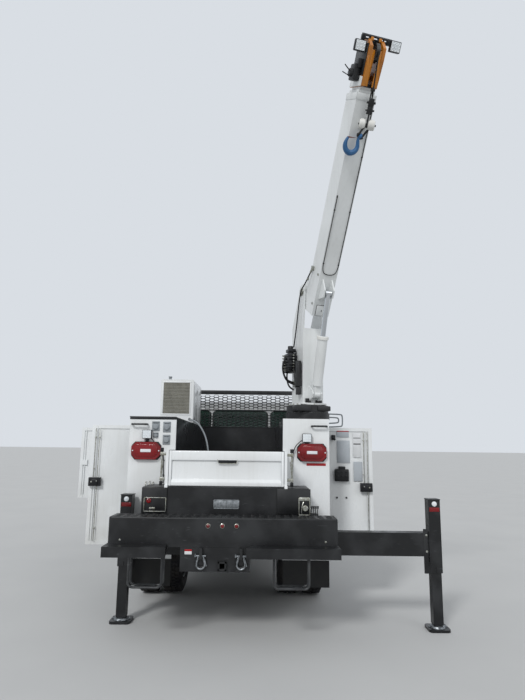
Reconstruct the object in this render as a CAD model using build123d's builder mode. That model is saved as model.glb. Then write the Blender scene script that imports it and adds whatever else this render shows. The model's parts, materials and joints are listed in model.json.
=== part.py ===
from build123d import *
import math
import os

os.makedirs("parts", exist_ok=True)

# A mechanic's service truck: conventional cab, dual rear wheels, tall side compartments, telescopic crane.
# Millimetres. X to the curb side, Y forward, Z up, the floor at Z = 0.

# Stations along the truck: the cab is set from the front axle, and the body fills the length behind it
face_y = -2625.0            # rear face of the side compartments
rear_overhang = 1200.0
wheelbase = 4750.0
cowl_setback = 870.0        # from the cowl to the front axle
nose_overhang = 830.0       # from the front axle to the nose
cab_length = 1600.0
cab_gap = 130.0
hood_gap = 10.0
rear_axle_y = face_y + rear_overhang
front_axle_y = rear_axle_y + wheelbase
cowl_y = front_axle_y - cowl_setback
nose_y = front_axle_y + nose_overhang
cab_rear_y = cowl_y - cab_length
bed_front_y = cab_rear_y - cab_gap

# Clearances
fit_gap = 0.3               # round pieces on their seats
slide_gap = 0.6             # beams and legs in their tubes
door_gap = 6.0              # round a door or lid

# Side compartments
half_width = 1195.0
bay_half_width = 640.0
box_bottom_z = 640.0
box_top_z = 2260.0
box_wall = 30.0
door_thickness = 38.0
door_frame = 30.0
door_bottom_z = 675.0
door_top_z = 2185.0
rear_box_length = 690.0
middle_box_length = 1180.0
middle_floor_z = 1090.0
wing_length = 460.0
wing_bottom_z = 1475.0
wing_top_z = 1875.0

# Hinges of the compartment and cab doors
hinge_out = 14.0
hinge_pin_radius = 6.0
hinge_barrel_radius = 11.0
hinge_barrel_length = 60.0
hinge_lug_length = 25.0

# Wheels
tyre_radius = 490.0
tyre_width = 262.0
rim_radius = 290.0
bead_width = 215.0
rim_wall = 9.0
front_track_half = 1035.0
dual_inner_x = 755.0
dual_spacing = 315.0
dual_outer_x = dual_inner_x + dual_spacing
arch_radius = 522.0
spindle_radius = 38.0
hub_radius = 150.0

# Chassis frame and axles
rail_out_x = 432.0
rail_flange = 80.0
rail_height = 240.0
rail_wall = 8.0
rail_top_z = 980.0
sill_height = 100.0
floor_thickness = 40.0
floor_top_z = rail_top_z + sill_height + floor_thickness
kingpin_x = 880.0
kingpin_radius = 22.0
axle_z = tyre_radius
spring_x = rail_out_x - rail_flange / 2

# Tail
riser_half_width = 910.0
tail_depth = 460.0
bench_half_width = 1180.0
bench_depth = 320.0
bench_top_z = 1195.0
bench_bottom_z = 905.0
step_depth = 200.0
step_top_z = 935.0
step_thickness = 100.0
tailgate_thickness = 40.0
tailgate_top_z = 1868.0
tailgate_gap = 15.0
tailgate_pin_radius = 10.0
tailgate_pin_height = 16.0

# Outriggers
beam_height = 245.0
beam_depth = 140.0
housing_wall = 10.0
housing_half_length = 1060.0
beam_z = 885.0
beam_length = 1950.0
sleeve_size = 130.0
sleeve_wall = 11.0
sleeve_bottom_z = 590.0
sleeve_top_z = 1370.0
left_leg_x = -1145.0
right_leg_x = 2310.0
leg_top_z = 960.0
pad_size = 230.0
pad_thickness = 28.0

# Crane
crane_x = 960.0
crane_y = face_y + 285.0
crane_azimuth = 16.5        # degrees to the right of straight back
boom_elevation = 58.0       # degrees above level
pedestal_radius = 275.0
pedestal_height = 80.0
ring_height = 95.0
bearing_gap = 0.5
pivot_reach = 160.0
pivot_z = 3870.0
boom_pin_radius = 30.0
boom_drop = 420.0           # pivot to the underside of the boom
boom_width = 220.0
boom_height = 290.0
boom_wall = 10.0
boom_tail = 170.0
base_end = 2330.0
stage_gap = 6.0
stage_lip = 30.0
head_length = 460.0
mast_plate = 18.0

# Cab
cab_half_width = 1000.0
cab_floor_z = 1000.0
cab_roof_z = 2750.0
cab_wall = 50.0
glass_thickness = 8.0


def keep(shape, name):
    """Labels a finished piece and writes its STEP file."""
    shape.label = name
    export_step(shape, f"parts/{name}.step")


def block(x0, x1, y0, y1, z0, z1, mode=Mode.ADD):
    """A box between two corners, added to the part being built."""
    with Locations(((x0 + x1) / 2, (y0 + y1) / 2, (z0 + z1) / 2)):
        Box(abs(x1 - x0), abs(y1 - y0), abs(z1 - z0), mode=mode)


def rod_x(x0, x1, y, z, radius, mode=Mode.ADD):
    """A round bar along X, added to the part being built."""
    with Locations(Location(((x0 + x1) / 2, y, z), (0, 90, 0))):
        Cylinder(radius, abs(x1 - x0), mode=mode)


def rod_y(x, y0, y1, z, radius, mode=Mode.ADD):
    """A round bar along Y, added to the part being built."""
    with Locations(Location((x, (y0 + y1) / 2, z), (90, 0, 0))):
        Cylinder(radius, abs(y1 - y0), mode=mode)


def rod_z(x, y, z0, z1, radius, mode=Mode.ADD):
    """A round bar along Z, added to the part being built."""
    with Locations((x, y, (z0 + z1) / 2)):
        Cylinder(radius, abs(z1 - z0), mode=mode)


# Chassis frame: two channels, cross members and the hood's hinge lugs
rail_rear_y = face_y - 39.0
bumper_rear_y = nose_y + 40.0
rail_front_y = nose_y - 110.0
rail_bottom_z = rail_top_z - rail_height
cross_y = [
    rail_rear_y + 60, rear_axle_y - 620, rear_axle_y + 620, bed_front_y, cowl_y - 500,
    front_axle_y - 500, front_axle_y + 400, nose_y - 150,
]
hood_hinge_y = nose_y + 20.0
hood_hinge_z = 800.0
hood_pin_radius = 16.0
hood_lug_x = 300.0
horn_bottom_z = 660.0
horn_top_z = 840.0

with BuildPart() as frame:
    with BuildSketch(Plane.XZ.offset(-rail_rear_y)):
        for side in (-1, 1):
            with Locations((side * (rail_out_x - rail_flange / 2), rail_top_z - rail_height / 2)):
                Rectangle(rail_flange, rail_height)
            with Locations((side * (rail_out_x - rail_flange / 2 - rail_wall), rail_top_z - rail_height / 2)):
                Rectangle(rail_flange, rail_height - 2 * rail_wall, mode=Mode.SUBTRACT)
    extrude(amount=-(rail_front_y - rail_rear_y))
    for y in cross_y:
        inner_x = rail_out_x - rail_wall
        block(-inner_x, inner_x, y - 40, y + 40, rail_bottom_z + 20, rail_top_z - 40)
    # Horns under the hood's lower edge carry the bumper
    for side in (-1, 1):
        block(side * (rail_out_x - 60), side * (rail_out_x - 20), rail_front_y - 60, bumper_rear_y,
              horn_bottom_z, horn_top_z)
    for side in (-1, 1):
        x0 = side * hood_lug_x
        block(x0 - 25, x0 + 25, nose_y - 160, hood_hinge_y - 1, rail_bottom_z + 20, hood_hinge_z + 20)
        rod_x(x0 - 25, x0 + 25, hood_hinge_y, hood_hinge_z, 30)
        rod_x(x0 - 60, x0 + 60, hood_hinge_y, hood_hinge_z, hood_pin_radius)
keep(frame.part, "frame")

# Axles with their leaf springs
spring_half = 620.0
spring_width = 70.0
spring_leaf_rise = 110.0
spring_thickness = 60.0
rear_tube_radius = 65.0
diff_radius = 205.0

with BuildPart() as axles:
    # Rear housing: tubes and the round bowl of the final drive
    rear_tube_end = dual_inner_x - 150
    rod_x(-rear_tube_end, rear_tube_end, rear_axle_y, axle_z, rear_tube_radius)
    with Locations((0, rear_axle_y, axle_z)):
        Sphere(diff_radius)
    rod_y(0, rear_axle_y, rear_axle_y + 330, axle_z + 30, 75)
    rod_x(-rear_tube_end - 330, rear_tube_end + 330, rear_axle_y, axle_z, spindle_radius)
    # Front beam, dropped between the springs, with an eye at each end
    with BuildSketch(Plane.XZ.offset(-(front_axle_y - 45))):
        with BuildLine():
            Polyline(
                (-kingpin_x, axle_z + 55), (-kingpin_x + 120, axle_z + 55), (-kingpin_x + 260, axle_z - 35),
                (kingpin_x - 260, axle_z - 35), (kingpin_x - 120, axle_z + 55), (kingpin_x, axle_z + 55),
                (kingpin_x, axle_z - 55), (kingpin_x - 130, axle_z - 55), (kingpin_x - 250, axle_z - 135),
                (-kingpin_x + 250, axle_z - 135), (-kingpin_x + 130, axle_z - 55), (-kingpin_x, axle_z - 55),
                close=True,
            )
        make_face()
    extrude(amount=-90)
    for side in (-1, 1):
        rod_z(side * kingpin_x, front_axle_y, axle_z - 55, axle_z + 55, 50)
    for side in (-1, 1):
        rod_z(side * kingpin_x, front_axle_y, axle_z - 60, axle_z + 60, kingpin_radius + fit_gap,
              Mode.SUBTRACT)
    # Leaf springs as bowed packs between hangers under the rails
    for axle_y, seat_z in ((rear_axle_y, axle_z + rear_tube_radius - 5), (front_axle_y, axle_z - 40)):
        for side in (-1, 1):
            pack_x = side * spring_x - spring_width / 2
            pack_plane = Plane(origin=(pack_x, axle_y, 0), x_dir=(0, 1, 0), z_dir=(1, 0, 0))
            top_z = seat_z + spring_thickness
            with BuildSketch(pack_plane):
                with BuildLine():
                    end_z = seat_z + spring_leaf_rise
                    arc = ThreePointArc((-spring_half, end_z), (0, seat_z), (spring_half, end_z))
                    back = ThreePointArc((spring_half, end_z + 18), (0, top_z), (-spring_half, end_z + 18))
                    Line(arc @ 1, back @ 0)
                    Line(back @ 1, arc @ 0)
                make_face()
            extrude(amount=spring_width)
            for end in (-1, 1):
                y = axle_y + end * spring_half
                block(side * spring_x - 34, side * spring_x + 34, y - 35, y + 35, end_z - 20, rail_bottom_z)
            block(side * spring_x - 60, side * spring_x + 60, axle_y - 70, axle_y + 70,
                  seat_z - 30, top_z + 15)
keep(axles.part, "axles")

# Engine and gearbox as plain blocks, the drive shaft in two runs with a bearing between, and the exhaust
engine_half_width = 300.0
engine_rear_y = front_axle_y - 620.0
gearbox_half_width = 150.0
gearbox_rear_y = engine_rear_y - 400.0
shaft_radius = 42.0
shaft_z = 690.0
flange_radius = 68.0
flange_thickness = 24.0
pinion_y = rear_axle_y + 330.0
pinion_z = axle_z + 30.0
muffler_radius = 100.0
muffler_x = rail_out_x + 140.0
muffler_z = 700.0
exhaust_radius = 30.0
exhaust_x = rail_out_x + 83.0
exhaust_end_z = box_bottom_z - 65.0
with BuildPart() as engine:
    block(-engine_half_width, engine_half_width, engine_rear_y, front_axle_y + 480,
          rail_top_z - 40, rail_top_z + 400)
    block(-gearbox_half_width, gearbox_half_width, gearbox_rear_y, engine_rear_y + 70, 610, rail_top_z - 40)
    # Level run to the bearing under a cross member, then down to the final drive between two flanges
    rod_y(0, bed_front_y, gearbox_rear_y, shaft_z, shaft_radius)
    rod_y(0, gearbox_rear_y - 60, gearbox_rear_y, shaft_z, flange_radius)
    rod_y(0, bed_front_y - 35, bed_front_y + 35, shaft_z, flange_radius)
    block(-30, 30, bed_front_y - 30, bed_front_y + 30, shaft_z + 40, rail_bottom_z + 20)
    rod_y(0, pinion_y, pinion_y + flange_thickness, pinion_z, flange_radius)
    shaft_start = Vector(0, pinion_y + flange_thickness / 2, pinion_z)
    shaft_run = Vector(0, bed_front_y, shaft_z) - shaft_start
    with BuildSketch(Plane(origin=shaft_start, x_dir=(1, 0, 0), z_dir=shaft_run.normalized())):
        Circle(shaft_radius)
    extrude(amount=shaft_run.length)
    # Muffler beside the curb-side rail, and its tail pipe to in front of the rear wheel
    rod_y(muffler_x, gearbox_rear_y - 245, gearbox_rear_y + 335, muffler_z, muffler_radius)
    for y in (gearbox_rear_y - 150, gearbox_rear_y + 240):
        block(rail_out_x, muffler_x - 60, y - 25, y + 25, rail_bottom_z + 10, muffler_z + 90)
    with BuildLine() as tail_pipe:
        FilletPolyline((exhaust_x, gearbox_rear_y - 240, muffler_z - 10),
                       (exhaust_x, bed_front_y - 425, muffler_z - 10),
                       (exhaust_x + 60, bed_front_y - 665, exhaust_end_z),
                       (1000, bed_front_y - 875, exhaust_end_z), radius=90)
    with BuildSketch(Plane(origin=tail_pipe.line @ 0, z_dir=tail_pipe.line % 0)):
        Circle(exhaust_radius)
    sweep(path=tail_pipe.line)
    block(rail_out_x, exhaust_x, bed_front_y + 120, bed_front_y + 160, muffler_z, rail_bottom_z + 40)
keep(engine.part, "engine")

# Fuel tank on the street side and battery box on the curb side, each hung on the rail, and two air tanks
tank_length = 950.0
tank_y0 = cab_rear_y + 180.0
tank_out_x = 1090.0
tank_in_x = 560.0
tank_top_z = 930.0
tank_bottom_z = 430.0
air_tank_radius = 95.0
air_tank_x = 215.0
air_tank_z = 610.0
with BuildPart() as side_tanks:
    for side in (-1, 1):
        rod_y(side * air_tank_x, tank_y0 - 200, tank_y0 + 500, air_tank_z, air_tank_radius)
        for y in (tank_y0 - 50, tank_y0 + 350):
            block(side * air_tank_x, side * (rail_out_x - 20), y - 20, y + 20,
                  air_tank_z + air_tank_radius - 10, rail_bottom_z)
        with BuildSketch(Plane.XZ.offset(-tank_y0)):
            with Locations((side * (tank_out_x + tank_in_x) / 2, (tank_top_z + tank_bottom_z) / 2)):
                RectangleRounded(tank_out_x - tank_in_x, tank_top_z - tank_bottom_z, 110 if side < 0 else 25)
        extrude(amount=-tank_length)
        for y in (tank_y0 + 180, tank_y0 + tank_length - 180):
            block(side * rail_out_x, side * (tank_in_x + 30), y - 30, y + 30,
                  rail_bottom_z + 10, tank_top_z - 120)
        # Cab steps on the outside of the tank
        for z in (tank_bottom_z + 60, tank_top_z - 90):
            block(side * (tank_out_x - 10), side * (tank_out_x + 70), tank_y0 + 320, tank_y0 + 900, z, z + 35)
keep(side_tanks.part, "side_tanks")

# Cab shell: a side profile across the width, hollow, with door and window openings
windshield_top_y = cowl_y - 330.0
cowl_top_z = 1720.0
cab_profile = [
    (cab_rear_y, cab_floor_z), (cowl_y, cab_floor_z), (cowl_y, cowl_top_z),
    (windshield_top_y, cab_roof_z), (cab_rear_y, cab_roof_z),
]
door_rear_y = cab_rear_y + 330.0
door_front_y = cowl_y - 110.0
cab_door_bottom_z = cab_floor_z + 60.0
cab_door_top_z = cab_roof_z - 120.0
belt_z = 1880.0
windshield_slope = math.atan2(cab_roof_z - cowl_top_z, cowl_y - windshield_top_y)
slope_shift = (cab_door_top_z - belt_z) / math.tan(windshield_slope)
window_frame = 80.0


def cab_door_points(gap):
    """The door's corners in Y and Z, drawn in by a gap, with the front edge along the windshield post."""
    return [
        (door_rear_y + gap, cab_door_bottom_z + gap), (door_front_y - gap, cab_door_bottom_z + gap),
        (door_front_y - gap, belt_z), (door_front_y - slope_shift - gap, cab_door_top_z - gap),
        (door_rear_y + gap, cab_door_top_z - gap),
    ]


def door_window_points(gap):
    """The window's corners in the door, drawn in by a gap from its opening."""
    sill_z = belt_z + 20 + gap
    head_z = cab_door_top_z - window_frame - gap
    head_share = (head_z - belt_z) / (cab_door_top_z - belt_z)
    return [
        (door_rear_y + window_frame + gap, sill_z), (door_front_y - window_frame - gap, sill_z),
        (door_front_y - window_frame - gap - slope_shift * head_share, head_z),
        (door_rear_y + window_frame + gap, head_z),
    ]


with BuildPart() as cab:
    with BuildSketch(Plane.YZ.offset(-cab_half_width)):
        with BuildLine():
            Polyline(*cab_profile, close=True)
        make_face()
    extrude(amount=2 * cab_half_width)
    fillet(cab.edges().filter_by(Axis.X).group_by(Axis.Z)[-1], 90)
    roof_edges = cab.faces().sort_by(Axis.Z)[-1].edges().filter_by(Axis.Y)
    fillet(roof_edges, 70)
    with BuildSketch(Plane.YZ.offset(-(cab_half_width - cab_wall))):
        with BuildLine():
            Polyline(*cab_profile, close=True)
        make_face()
        offset(amount=-cab_wall, kind=Kind.INTERSECTION, mode=Mode.REPLACE)
    extrude(amount=2 * (cab_half_width - cab_wall), mode=Mode.SUBTRACT)
    with BuildSketch(Plane.YZ.offset(-cab_half_width - 10)):
        with BuildLine():
            Polyline(*cab_door_points(0), close=True)
        make_face()
    extrude(amount=2 * cab_half_width + 20, mode=Mode.SUBTRACT)
    # Rear window
    with BuildSketch(Plane.XZ.offset(-(cab_rear_y - 10))):
        with Locations((0, 2220)):
            RectangleRounded(1300, 460, 60)
    extrude(amount=-(cab_wall + 30), mode=Mode.SUBTRACT)
    # Windshield
    slope_mid = ((cowl_y + windshield_top_y) / 2, (cowl_top_z + cab_roof_z) / 2)
    slope_normal = (0, math.sin(windshield_slope), math.cos(windshield_slope))
    screen_plane = Plane(origin=(0, slope_mid[0], slope_mid[1]), x_dir=(1, 0, 0), z_dir=slope_normal)
    with BuildSketch(screen_plane.offset(20)):
        RectangleRounded(1760, 780, 60)
    extrude(amount=-(cab_wall + 60), mode=Mode.SUBTRACT)
    for side in (-1, 1):
        for z in (cab_door_bottom_z + 140, belt_z - 260):
            pin_x = side * (cab_half_width + hinge_out)
            block(side * cab_half_width, pin_x, door_front_y, door_front_y + 24, z - hinge_lug_length, z - 1)
            rod_z(pin_x, door_front_y, z - hinge_lug_length, z - 1, hinge_barrel_radius)
            rod_z(pin_x, door_front_y, z - hinge_lug_length, z + hinge_barrel_length, hinge_pin_radius)
    # Mounts of the cab on the rails
    for side in (-1, 1):
        for y in (cab_rear_y + 150, cowl_y - 250):
            block(side * (rail_out_x - 70), side * (rail_out_x - 5), y - 50, y + 50, rail_top_z, cab_floor_z)
keep(cab.part, "cab")

with BuildPart() as cab_glass:
    with BuildSketch(screen_plane.offset(-12)):
        RectangleRounded(1760 - 2 * fit_gap, 780 - 2 * fit_gap, 60 - fit_gap)
    extrude(amount=-glass_thickness)
    with BuildSketch(Plane.XZ.offset(-(cab_rear_y + 12))):
        with Locations((0, 2220)):
            RectangleRounded(1300 - 2 * fit_gap, 460 - 2 * fit_gap, 60 - fit_gap)
    extrude(amount=-glass_thickness)
keep(cab_glass.part, "cab_glass")

# Seats, dash and steering wheel
seat_y = cab_rear_y + 380.0
inner_floor_z = cab_floor_z + cab_wall
with BuildPart() as cab_interior:
    for x in (-520, 520):
        with BuildSketch(Plane.YZ.offset(x - 250)):
            with BuildLine():
                Polyline(
                    (seat_y - 60, inner_floor_z), (seat_y + 420, inner_floor_z),
                    (seat_y + 520, inner_floor_z + 420),
                    (seat_y + 60, inner_floor_z + 400), (seat_y - 80, inner_floor_z + 1080),
                    (seat_y - 200, inner_floor_z + 1060), (seat_y - 90, inner_floor_z + 260), close=True,
                )
            make_face()
        extrude(amount=500)
    block(-(cab_half_width - 60), cab_half_width - 60, cowl_y - cab_wall - 340, cowl_y - cab_wall, 1380, 1660)
    column = Plane(origin=(-520, cowl_y - 370, 1560), x_dir=(1, 0, 0), z_dir=(0, -0.8, 0.6))
    with BuildSketch(column):
        Circle(28)
    extrude(amount=150)
    with BuildSketch(column.offset(130)):
        Circle(215)
        Circle(190, mode=Mode.SUBTRACT)
        Rectangle(400, 40)
    extrude(amount=25)
keep(cab_interior.part, "cab_interior")

# Cab doors with their glass and mirror, hinged on the front edge
mirror_size = (200.0, 480.0)
mirror_depth = 75.0
mirror_x = cab_half_width + 190.0
mirror_y = door_front_y - 130.0
mirror_arm_z = belt_z - 60.0
with BuildPart() as right_cab_door:
    with BuildSketch(Plane.YZ.offset(cab_half_width - cab_wall)):
        with BuildLine():
            Polyline(*cab_door_points(door_gap / 2), close=True)
        make_face()
        with BuildLine():
            Polyline(*door_window_points(0), close=True)
        make_face(mode=Mode.SUBTRACT)
    extrude(amount=cab_wall)
    pin_x = cab_half_width + hinge_out
    for z in (cab_door_bottom_z + 140, belt_z - 260):
        block(cab_half_width, pin_x, door_front_y - 26, door_front_y, z, z + hinge_barrel_length)
        rod_z(pin_x, door_front_y, z, z + hinge_barrel_length, hinge_barrel_radius)
        rod_z(pin_x, door_front_y, z - 1, z + hinge_barrel_length + 1, hinge_pin_radius + fit_gap,
              Mode.SUBTRACT)
    # Mirror on an arm from below the window
    rod_x(cab_half_width - 10, mirror_x, mirror_y, mirror_arm_z, 16)
    with BuildSketch(Plane.XZ.offset(-(mirror_y - mirror_depth / 2))):
        with Locations((mirror_x, mirror_arm_z - 30 + mirror_size[1] / 2)):
            RectangleRounded(mirror_size[0], mirror_size[1], 40)
    extrude(amount=-mirror_depth)
keep(right_cab_door.part, "right_cab_door")
left_cab_door = mirror(right_cab_door.part, about=Plane.YZ)
keep(left_cab_door, "left_cab_door")

with BuildPart() as right_door_glass:
    with BuildSketch(Plane.YZ.offset(cab_half_width - cab_wall + 20)):
        with BuildLine():
            Polyline(*door_window_points(fit_gap), close=True)
        make_face()
    extrude(amount=glass_thickness)
keep(right_door_glass.part, "right_door_glass")
left_door_glass = mirror(right_door_glass.part, about=Plane.YZ)
keep(left_door_glass, "left_door_glass")

# Hood with its fenders, one hollow shell that tilts forward on the front lugs
hood_rear_y = cowl_y + hood_gap
hood_wall = 12.0
hood_rear_top_z = 1700.0
hood_rear_width = 1640.0
hood_nose_top_z = 1440.0
hood_nose_width = 1180.0
fender_in_x = 560.0
fender_out_x = 1175.0
fender_top_z = 1190.0
fender_bottom_z = 640.0
fender_front_z = 800.0
hood_bottom_z = 880.0
fender_arch_radius = 610.0
grille_half_width = 430.0
grille_bottom_z = 1000.0
grille_top_z = 1380.0
lamp_y = nose_y - 60.0
lamp_z = 985.0
lamp_size = (260.0, 150.0)
lamp_x = 870.0
ear_inner_x = hood_lug_x + 32.0
with BuildPart() as hood:
    # Bonnet between the fenders: wide and tall at the cowl, lower and narrower at the nose
    with BuildSketch(Plane.XZ.offset(-hood_rear_y)):
        with Locations((0, (hood_rear_top_z + hood_bottom_z) / 2)):
            RectangleRounded(hood_rear_width, hood_rear_top_z - hood_bottom_z, 90)
    with BuildSketch(Plane.XZ.offset(-nose_y)):
        with Locations((0, (hood_nose_top_z + hood_bottom_z) / 2)):
            RectangleRounded(hood_nose_width, hood_nose_top_z - hood_bottom_z, 90)
    loft()
    with BuildSketch(Plane.YZ.offset(-fender_out_x)):
        with BuildLine():
            Polyline(
                (hood_rear_y, fender_bottom_z), (hood_rear_y, fender_top_z + 40),
                (front_axle_y + 420, fender_top_z),
                (nose_y - 40, 1090), (nose_y - 40, fender_front_z), (front_axle_y + 500, fender_front_z),
                (front_axle_y, fender_front_z + 100), (front_axle_y - 560, fender_bottom_z), close=True,
            )
        make_face()
    extrude(amount=2 * fender_out_x)
    # Hollow: the bonnet's inside, the wheel houses and the open underside
    with BuildSketch(Plane.XZ.offset(-(hood_rear_y - 5))):
        with Locations((0, (hood_rear_top_z + hood_bottom_z) / 2 - 60)):
            Rectangle(hood_rear_width - 200, hood_rear_top_z - hood_bottom_z - 40)
    with BuildSketch(Plane.XZ.offset(-(nose_y - hood_wall))):
        with Locations((0, (hood_nose_top_z + hood_bottom_z) / 2 - 60)):
            Rectangle(hood_nose_width - 120, hood_nose_top_z - hood_bottom_z - 40)
    loft(mode=Mode.SUBTRACT)
    block(-fender_out_x + 25, fender_out_x - 25, hood_rear_y - 5, nose_y - 65, 500, fender_top_z - 70,
          Mode.SUBTRACT)
    rod_x(-fender_out_x - 10, fender_out_x + 10, front_axle_y, axle_z, fender_arch_radius, Mode.SUBTRACT)
    block(-fender_in_x, fender_in_x, hood_rear_y - 5, nose_y + 10, 500, hood_bottom_z, Mode.SUBTRACT)
    # Grille and headlamp openings
    block(-grille_half_width, grille_half_width, nose_y - 100, nose_y + 10, grille_bottom_z, grille_top_z,
          Mode.SUBTRACT)
    for side in (-1, 1):
        x0 = side * lamp_x
        block(x0 - lamp_size[0] / 2, x0 + lamp_size[0] / 2, nose_y - 90, nose_y + 10,
              lamp_z - lamp_size[1] / 2, lamp_z + lamp_size[1] / 2, Mode.SUBTRACT)
    # Ears on the front pins
    for side in (-1, 1):
        x0 = side * ear_inner_x
        x1 = side * (ear_inner_x + 22)
        block(x0, x1, nose_y - hood_wall, hood_hinge_y, hood_hinge_z - 26, hood_bottom_z + 40)
        rod_x(x0, x1, hood_hinge_y, hood_hinge_z, 26)
        rod_x(x0 - side * 5, x1 + side * 5, hood_hinge_y, hood_hinge_z, hood_pin_radius + fit_gap,
              Mode.SUBTRACT)
keep(hood.part, "hood")

# Grille: a frame with upright bars and two cross bars, and a headlamp in each fender
grille_bars = 13
with BuildPart() as grille:
    with BuildSketch(Plane.XZ.offset(-(nose_y - 8))):
        with Locations((0, (grille_bottom_z + grille_top_z) / 2)):
            Rectangle(2 * grille_half_width, grille_top_z - grille_bottom_z)
            Rectangle(2 * grille_half_width - 60, grille_top_z - grille_bottom_z - 60, mode=Mode.SUBTRACT)
            with GridLocations(2 * grille_half_width / (grille_bars + 1), 0, grille_bars, 1):
                Rectangle(14, grille_top_z - grille_bottom_z - 20)
            with GridLocations(0, 140, 1, 2):
                Rectangle(2 * grille_half_width - 20, 14)
    extrude(amount=-20)
    for side in (-1, 1):
        x0 = side * lamp_x
        block(x0 - lamp_size[0] / 2, x0 + lamp_size[0] / 2, lamp_y, lamp_y + 45,
              lamp_z - lamp_size[1] / 2, lamp_z + lamp_size[1] / 2)
keep(grille.part, "grille")

# Front bumper on the ends of the rails
bumper_half_width = 1150.0
with BuildPart() as front_bumper:
    with BuildSketch(Plane.XY.offset(500)):
        with BuildLine():
            Polyline(
                (-bumper_half_width, bumper_rear_y - 160), (-bumper_half_width, bumper_rear_y - 10),
                (-780, bumper_rear_y + 110), (780, bumper_rear_y + 110),
                (bumper_half_width, bumper_rear_y - 10), (bumper_half_width, bumper_rear_y - 160),
                (bumper_half_width - 40, bumper_rear_y - 160), (bumper_half_width - 40, bumper_rear_y - 40),
                (740, bumper_rear_y + 60), (-740, bumper_rear_y + 60),
                (-bumper_half_width + 40, bumper_rear_y - 40),
                (-bumper_half_width + 40, bumper_rear_y - 160), close=True,
            )
        make_face()
    extrude(amount=250)
    for side in (-1, 1):
        block(side * (rail_out_x - 60), side * (rail_out_x - 10), bumper_rear_y, bumper_rear_y + 65, 560, 750)
keep(front_bumper.part, "front_bumper")

# Steering knuckles: two ears round the axle's eye, the kingpin and the wheel's spindle
eye_half_height = 55.0
knuckle_ear = 48.0
knuckle_plate_x = kingpin_x + 56.0
spindle_end_x = front_track_half + 110.0
with BuildPart() as right_knuckle:
    for direction in (-1, 1):
        ear_z = axle_z + direction * (eye_half_height + 5.5)
        block(kingpin_x - 40, knuckle_plate_x, front_axle_y - 42, front_axle_y + 42,
              ear_z, ear_z + direction * knuckle_ear)
    knuckle_half_height = eye_half_height + 5.5 + knuckle_ear
    block(knuckle_plate_x, knuckle_plate_x + 24, front_axle_y - 60, front_axle_y + 60,
          axle_z - knuckle_half_height, axle_z + knuckle_half_height)
    rod_z(kingpin_x, front_axle_y, axle_z - knuckle_half_height, axle_z + knuckle_half_height, kingpin_radius)
    rod_x(knuckle_plate_x, spindle_end_x, front_axle_y, axle_z, spindle_radius)
keep(right_knuckle.part, "right_knuckle")
left_knuckle = mirror(right_knuckle.part, about=Plane.YZ)
keep(left_knuckle, "left_knuckle")

# Wheels: each tyre and rim is turned about the axle line
shoulder = 34.0


def tyre_outline(x):
    """Half section of a tyre centred at x: radius against X, from bead to tread."""
    half = tyre_width / 2
    bead = bead_width / 2
    return [
        (x - bead + fit_gap, rim_radius + fit_gap), (x - bead + fit_gap, rim_radius + 20),
        (x - bead - 14, rim_radius + 45), (x - half, rim_radius + 110),
        (x - half + 10, tyre_radius - shoulder), (x - half + shoulder, tyre_radius - 4), (x, tyre_radius),
        (x + half - shoulder, tyre_radius - 4), (x + half - 10, tyre_radius - shoulder),
        (x + half, rim_radius + 110), (x + bead + 14, rim_radius + 45),
        (x + bead - fit_gap, rim_radius + 20), (x + bead - fit_gap, rim_radius + fit_gap),
    ]


wheel_table = [
    # name, axle station, tyre centres, disc's place, hub from, hub to
    ("front", front_axle_y, [front_track_half], front_track_half + 62.0, knuckle_plate_x + 30.0,
     spindle_end_x),
    ("rear", rear_axle_y, [dual_inner_x, dual_outer_x], (dual_inner_x + dual_outer_x) / 2, 625.0, 935.0),
]
for name, axle_y, centres, disc_x, hub_from, hub_to in wheel_table:
    wheel_plane = Plane(origin=(0, axle_y, axle_z), x_dir=(1, 0, 0), z_dir=(0, -1, 0))
    wheel_axis = Axis((0, axle_y, axle_z), (1, 0, 0))
    with BuildPart() as tyres:
        for x in centres:
            with BuildSketch(wheel_plane):
                with BuildLine():
                    Polyline(*tyre_outline(x), close=True)
                make_face()
            revolve(axis=wheel_axis)
    keep(tyres.part, f"right_{name}_tyre")
    left_tyres = mirror(tyres.part, about=Plane.YZ)
    keep(left_tyres, f"left_{name}_tyre")
    with BuildPart() as rim:
        for x in centres:
            bead = bead_width / 2
            toward = 1 if disc_x > x else -1
            with BuildSketch(wheel_plane):
                with BuildLine():
                    Polyline(
                        (x - bead - 10, rim_radius + 16), (x - bead - 10, rim_radius - rim_wall),
                        (x + bead + 10, rim_radius - rim_wall), (x + bead + 10, rim_radius + 16),
                        (x + bead, rim_radius + 16), (x + bead, rim_radius), (x - bead, rim_radius),
                        (x - bead, rim_radius + 16), close=True,
                    )
                make_face()
            revolve(axis=wheel_axis)
            with BuildSketch(wheel_plane):
                with BuildLine():
                    lip_x = x + toward * 40
                    Polyline(
                        (disc_x, 60), (disc_x, 190), (lip_x, rim_radius - 4),
                        (lip_x - toward * 12, rim_radius - 4), (disc_x - toward * 12, 180),
                        (disc_x - toward * 12, 60), close=True,
                    )
                make_face()
            revolve(axis=wheel_axis)
        rod_x(hub_from, hub_to, axle_y, axle_z, 95)
        rod_x(disc_x - 20, disc_x + 20, axle_y, axle_z, hub_radius)
        rod_x(hub_from - 5, hub_to + 5, axle_y, axle_z, spindle_radius + fit_gap, Mode.SUBTRACT)
        # Hand holes through each disc
        with BuildSketch(Plane(origin=(hub_from, axle_y, axle_z), x_dir=(0, 1, 0), z_dir=(1, 0, 0))):
            with PolarLocations(215, 8):
                Circle(26)
        extrude(amount=hub_to - hub_from + 200, mode=Mode.SUBTRACT)
    keep(rim.part, f"right_{name}_rim")
    left_rim = mirror(rim.part, about=Plane.YZ)
    keep(left_rim, f"left_{name}_rim")

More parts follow.
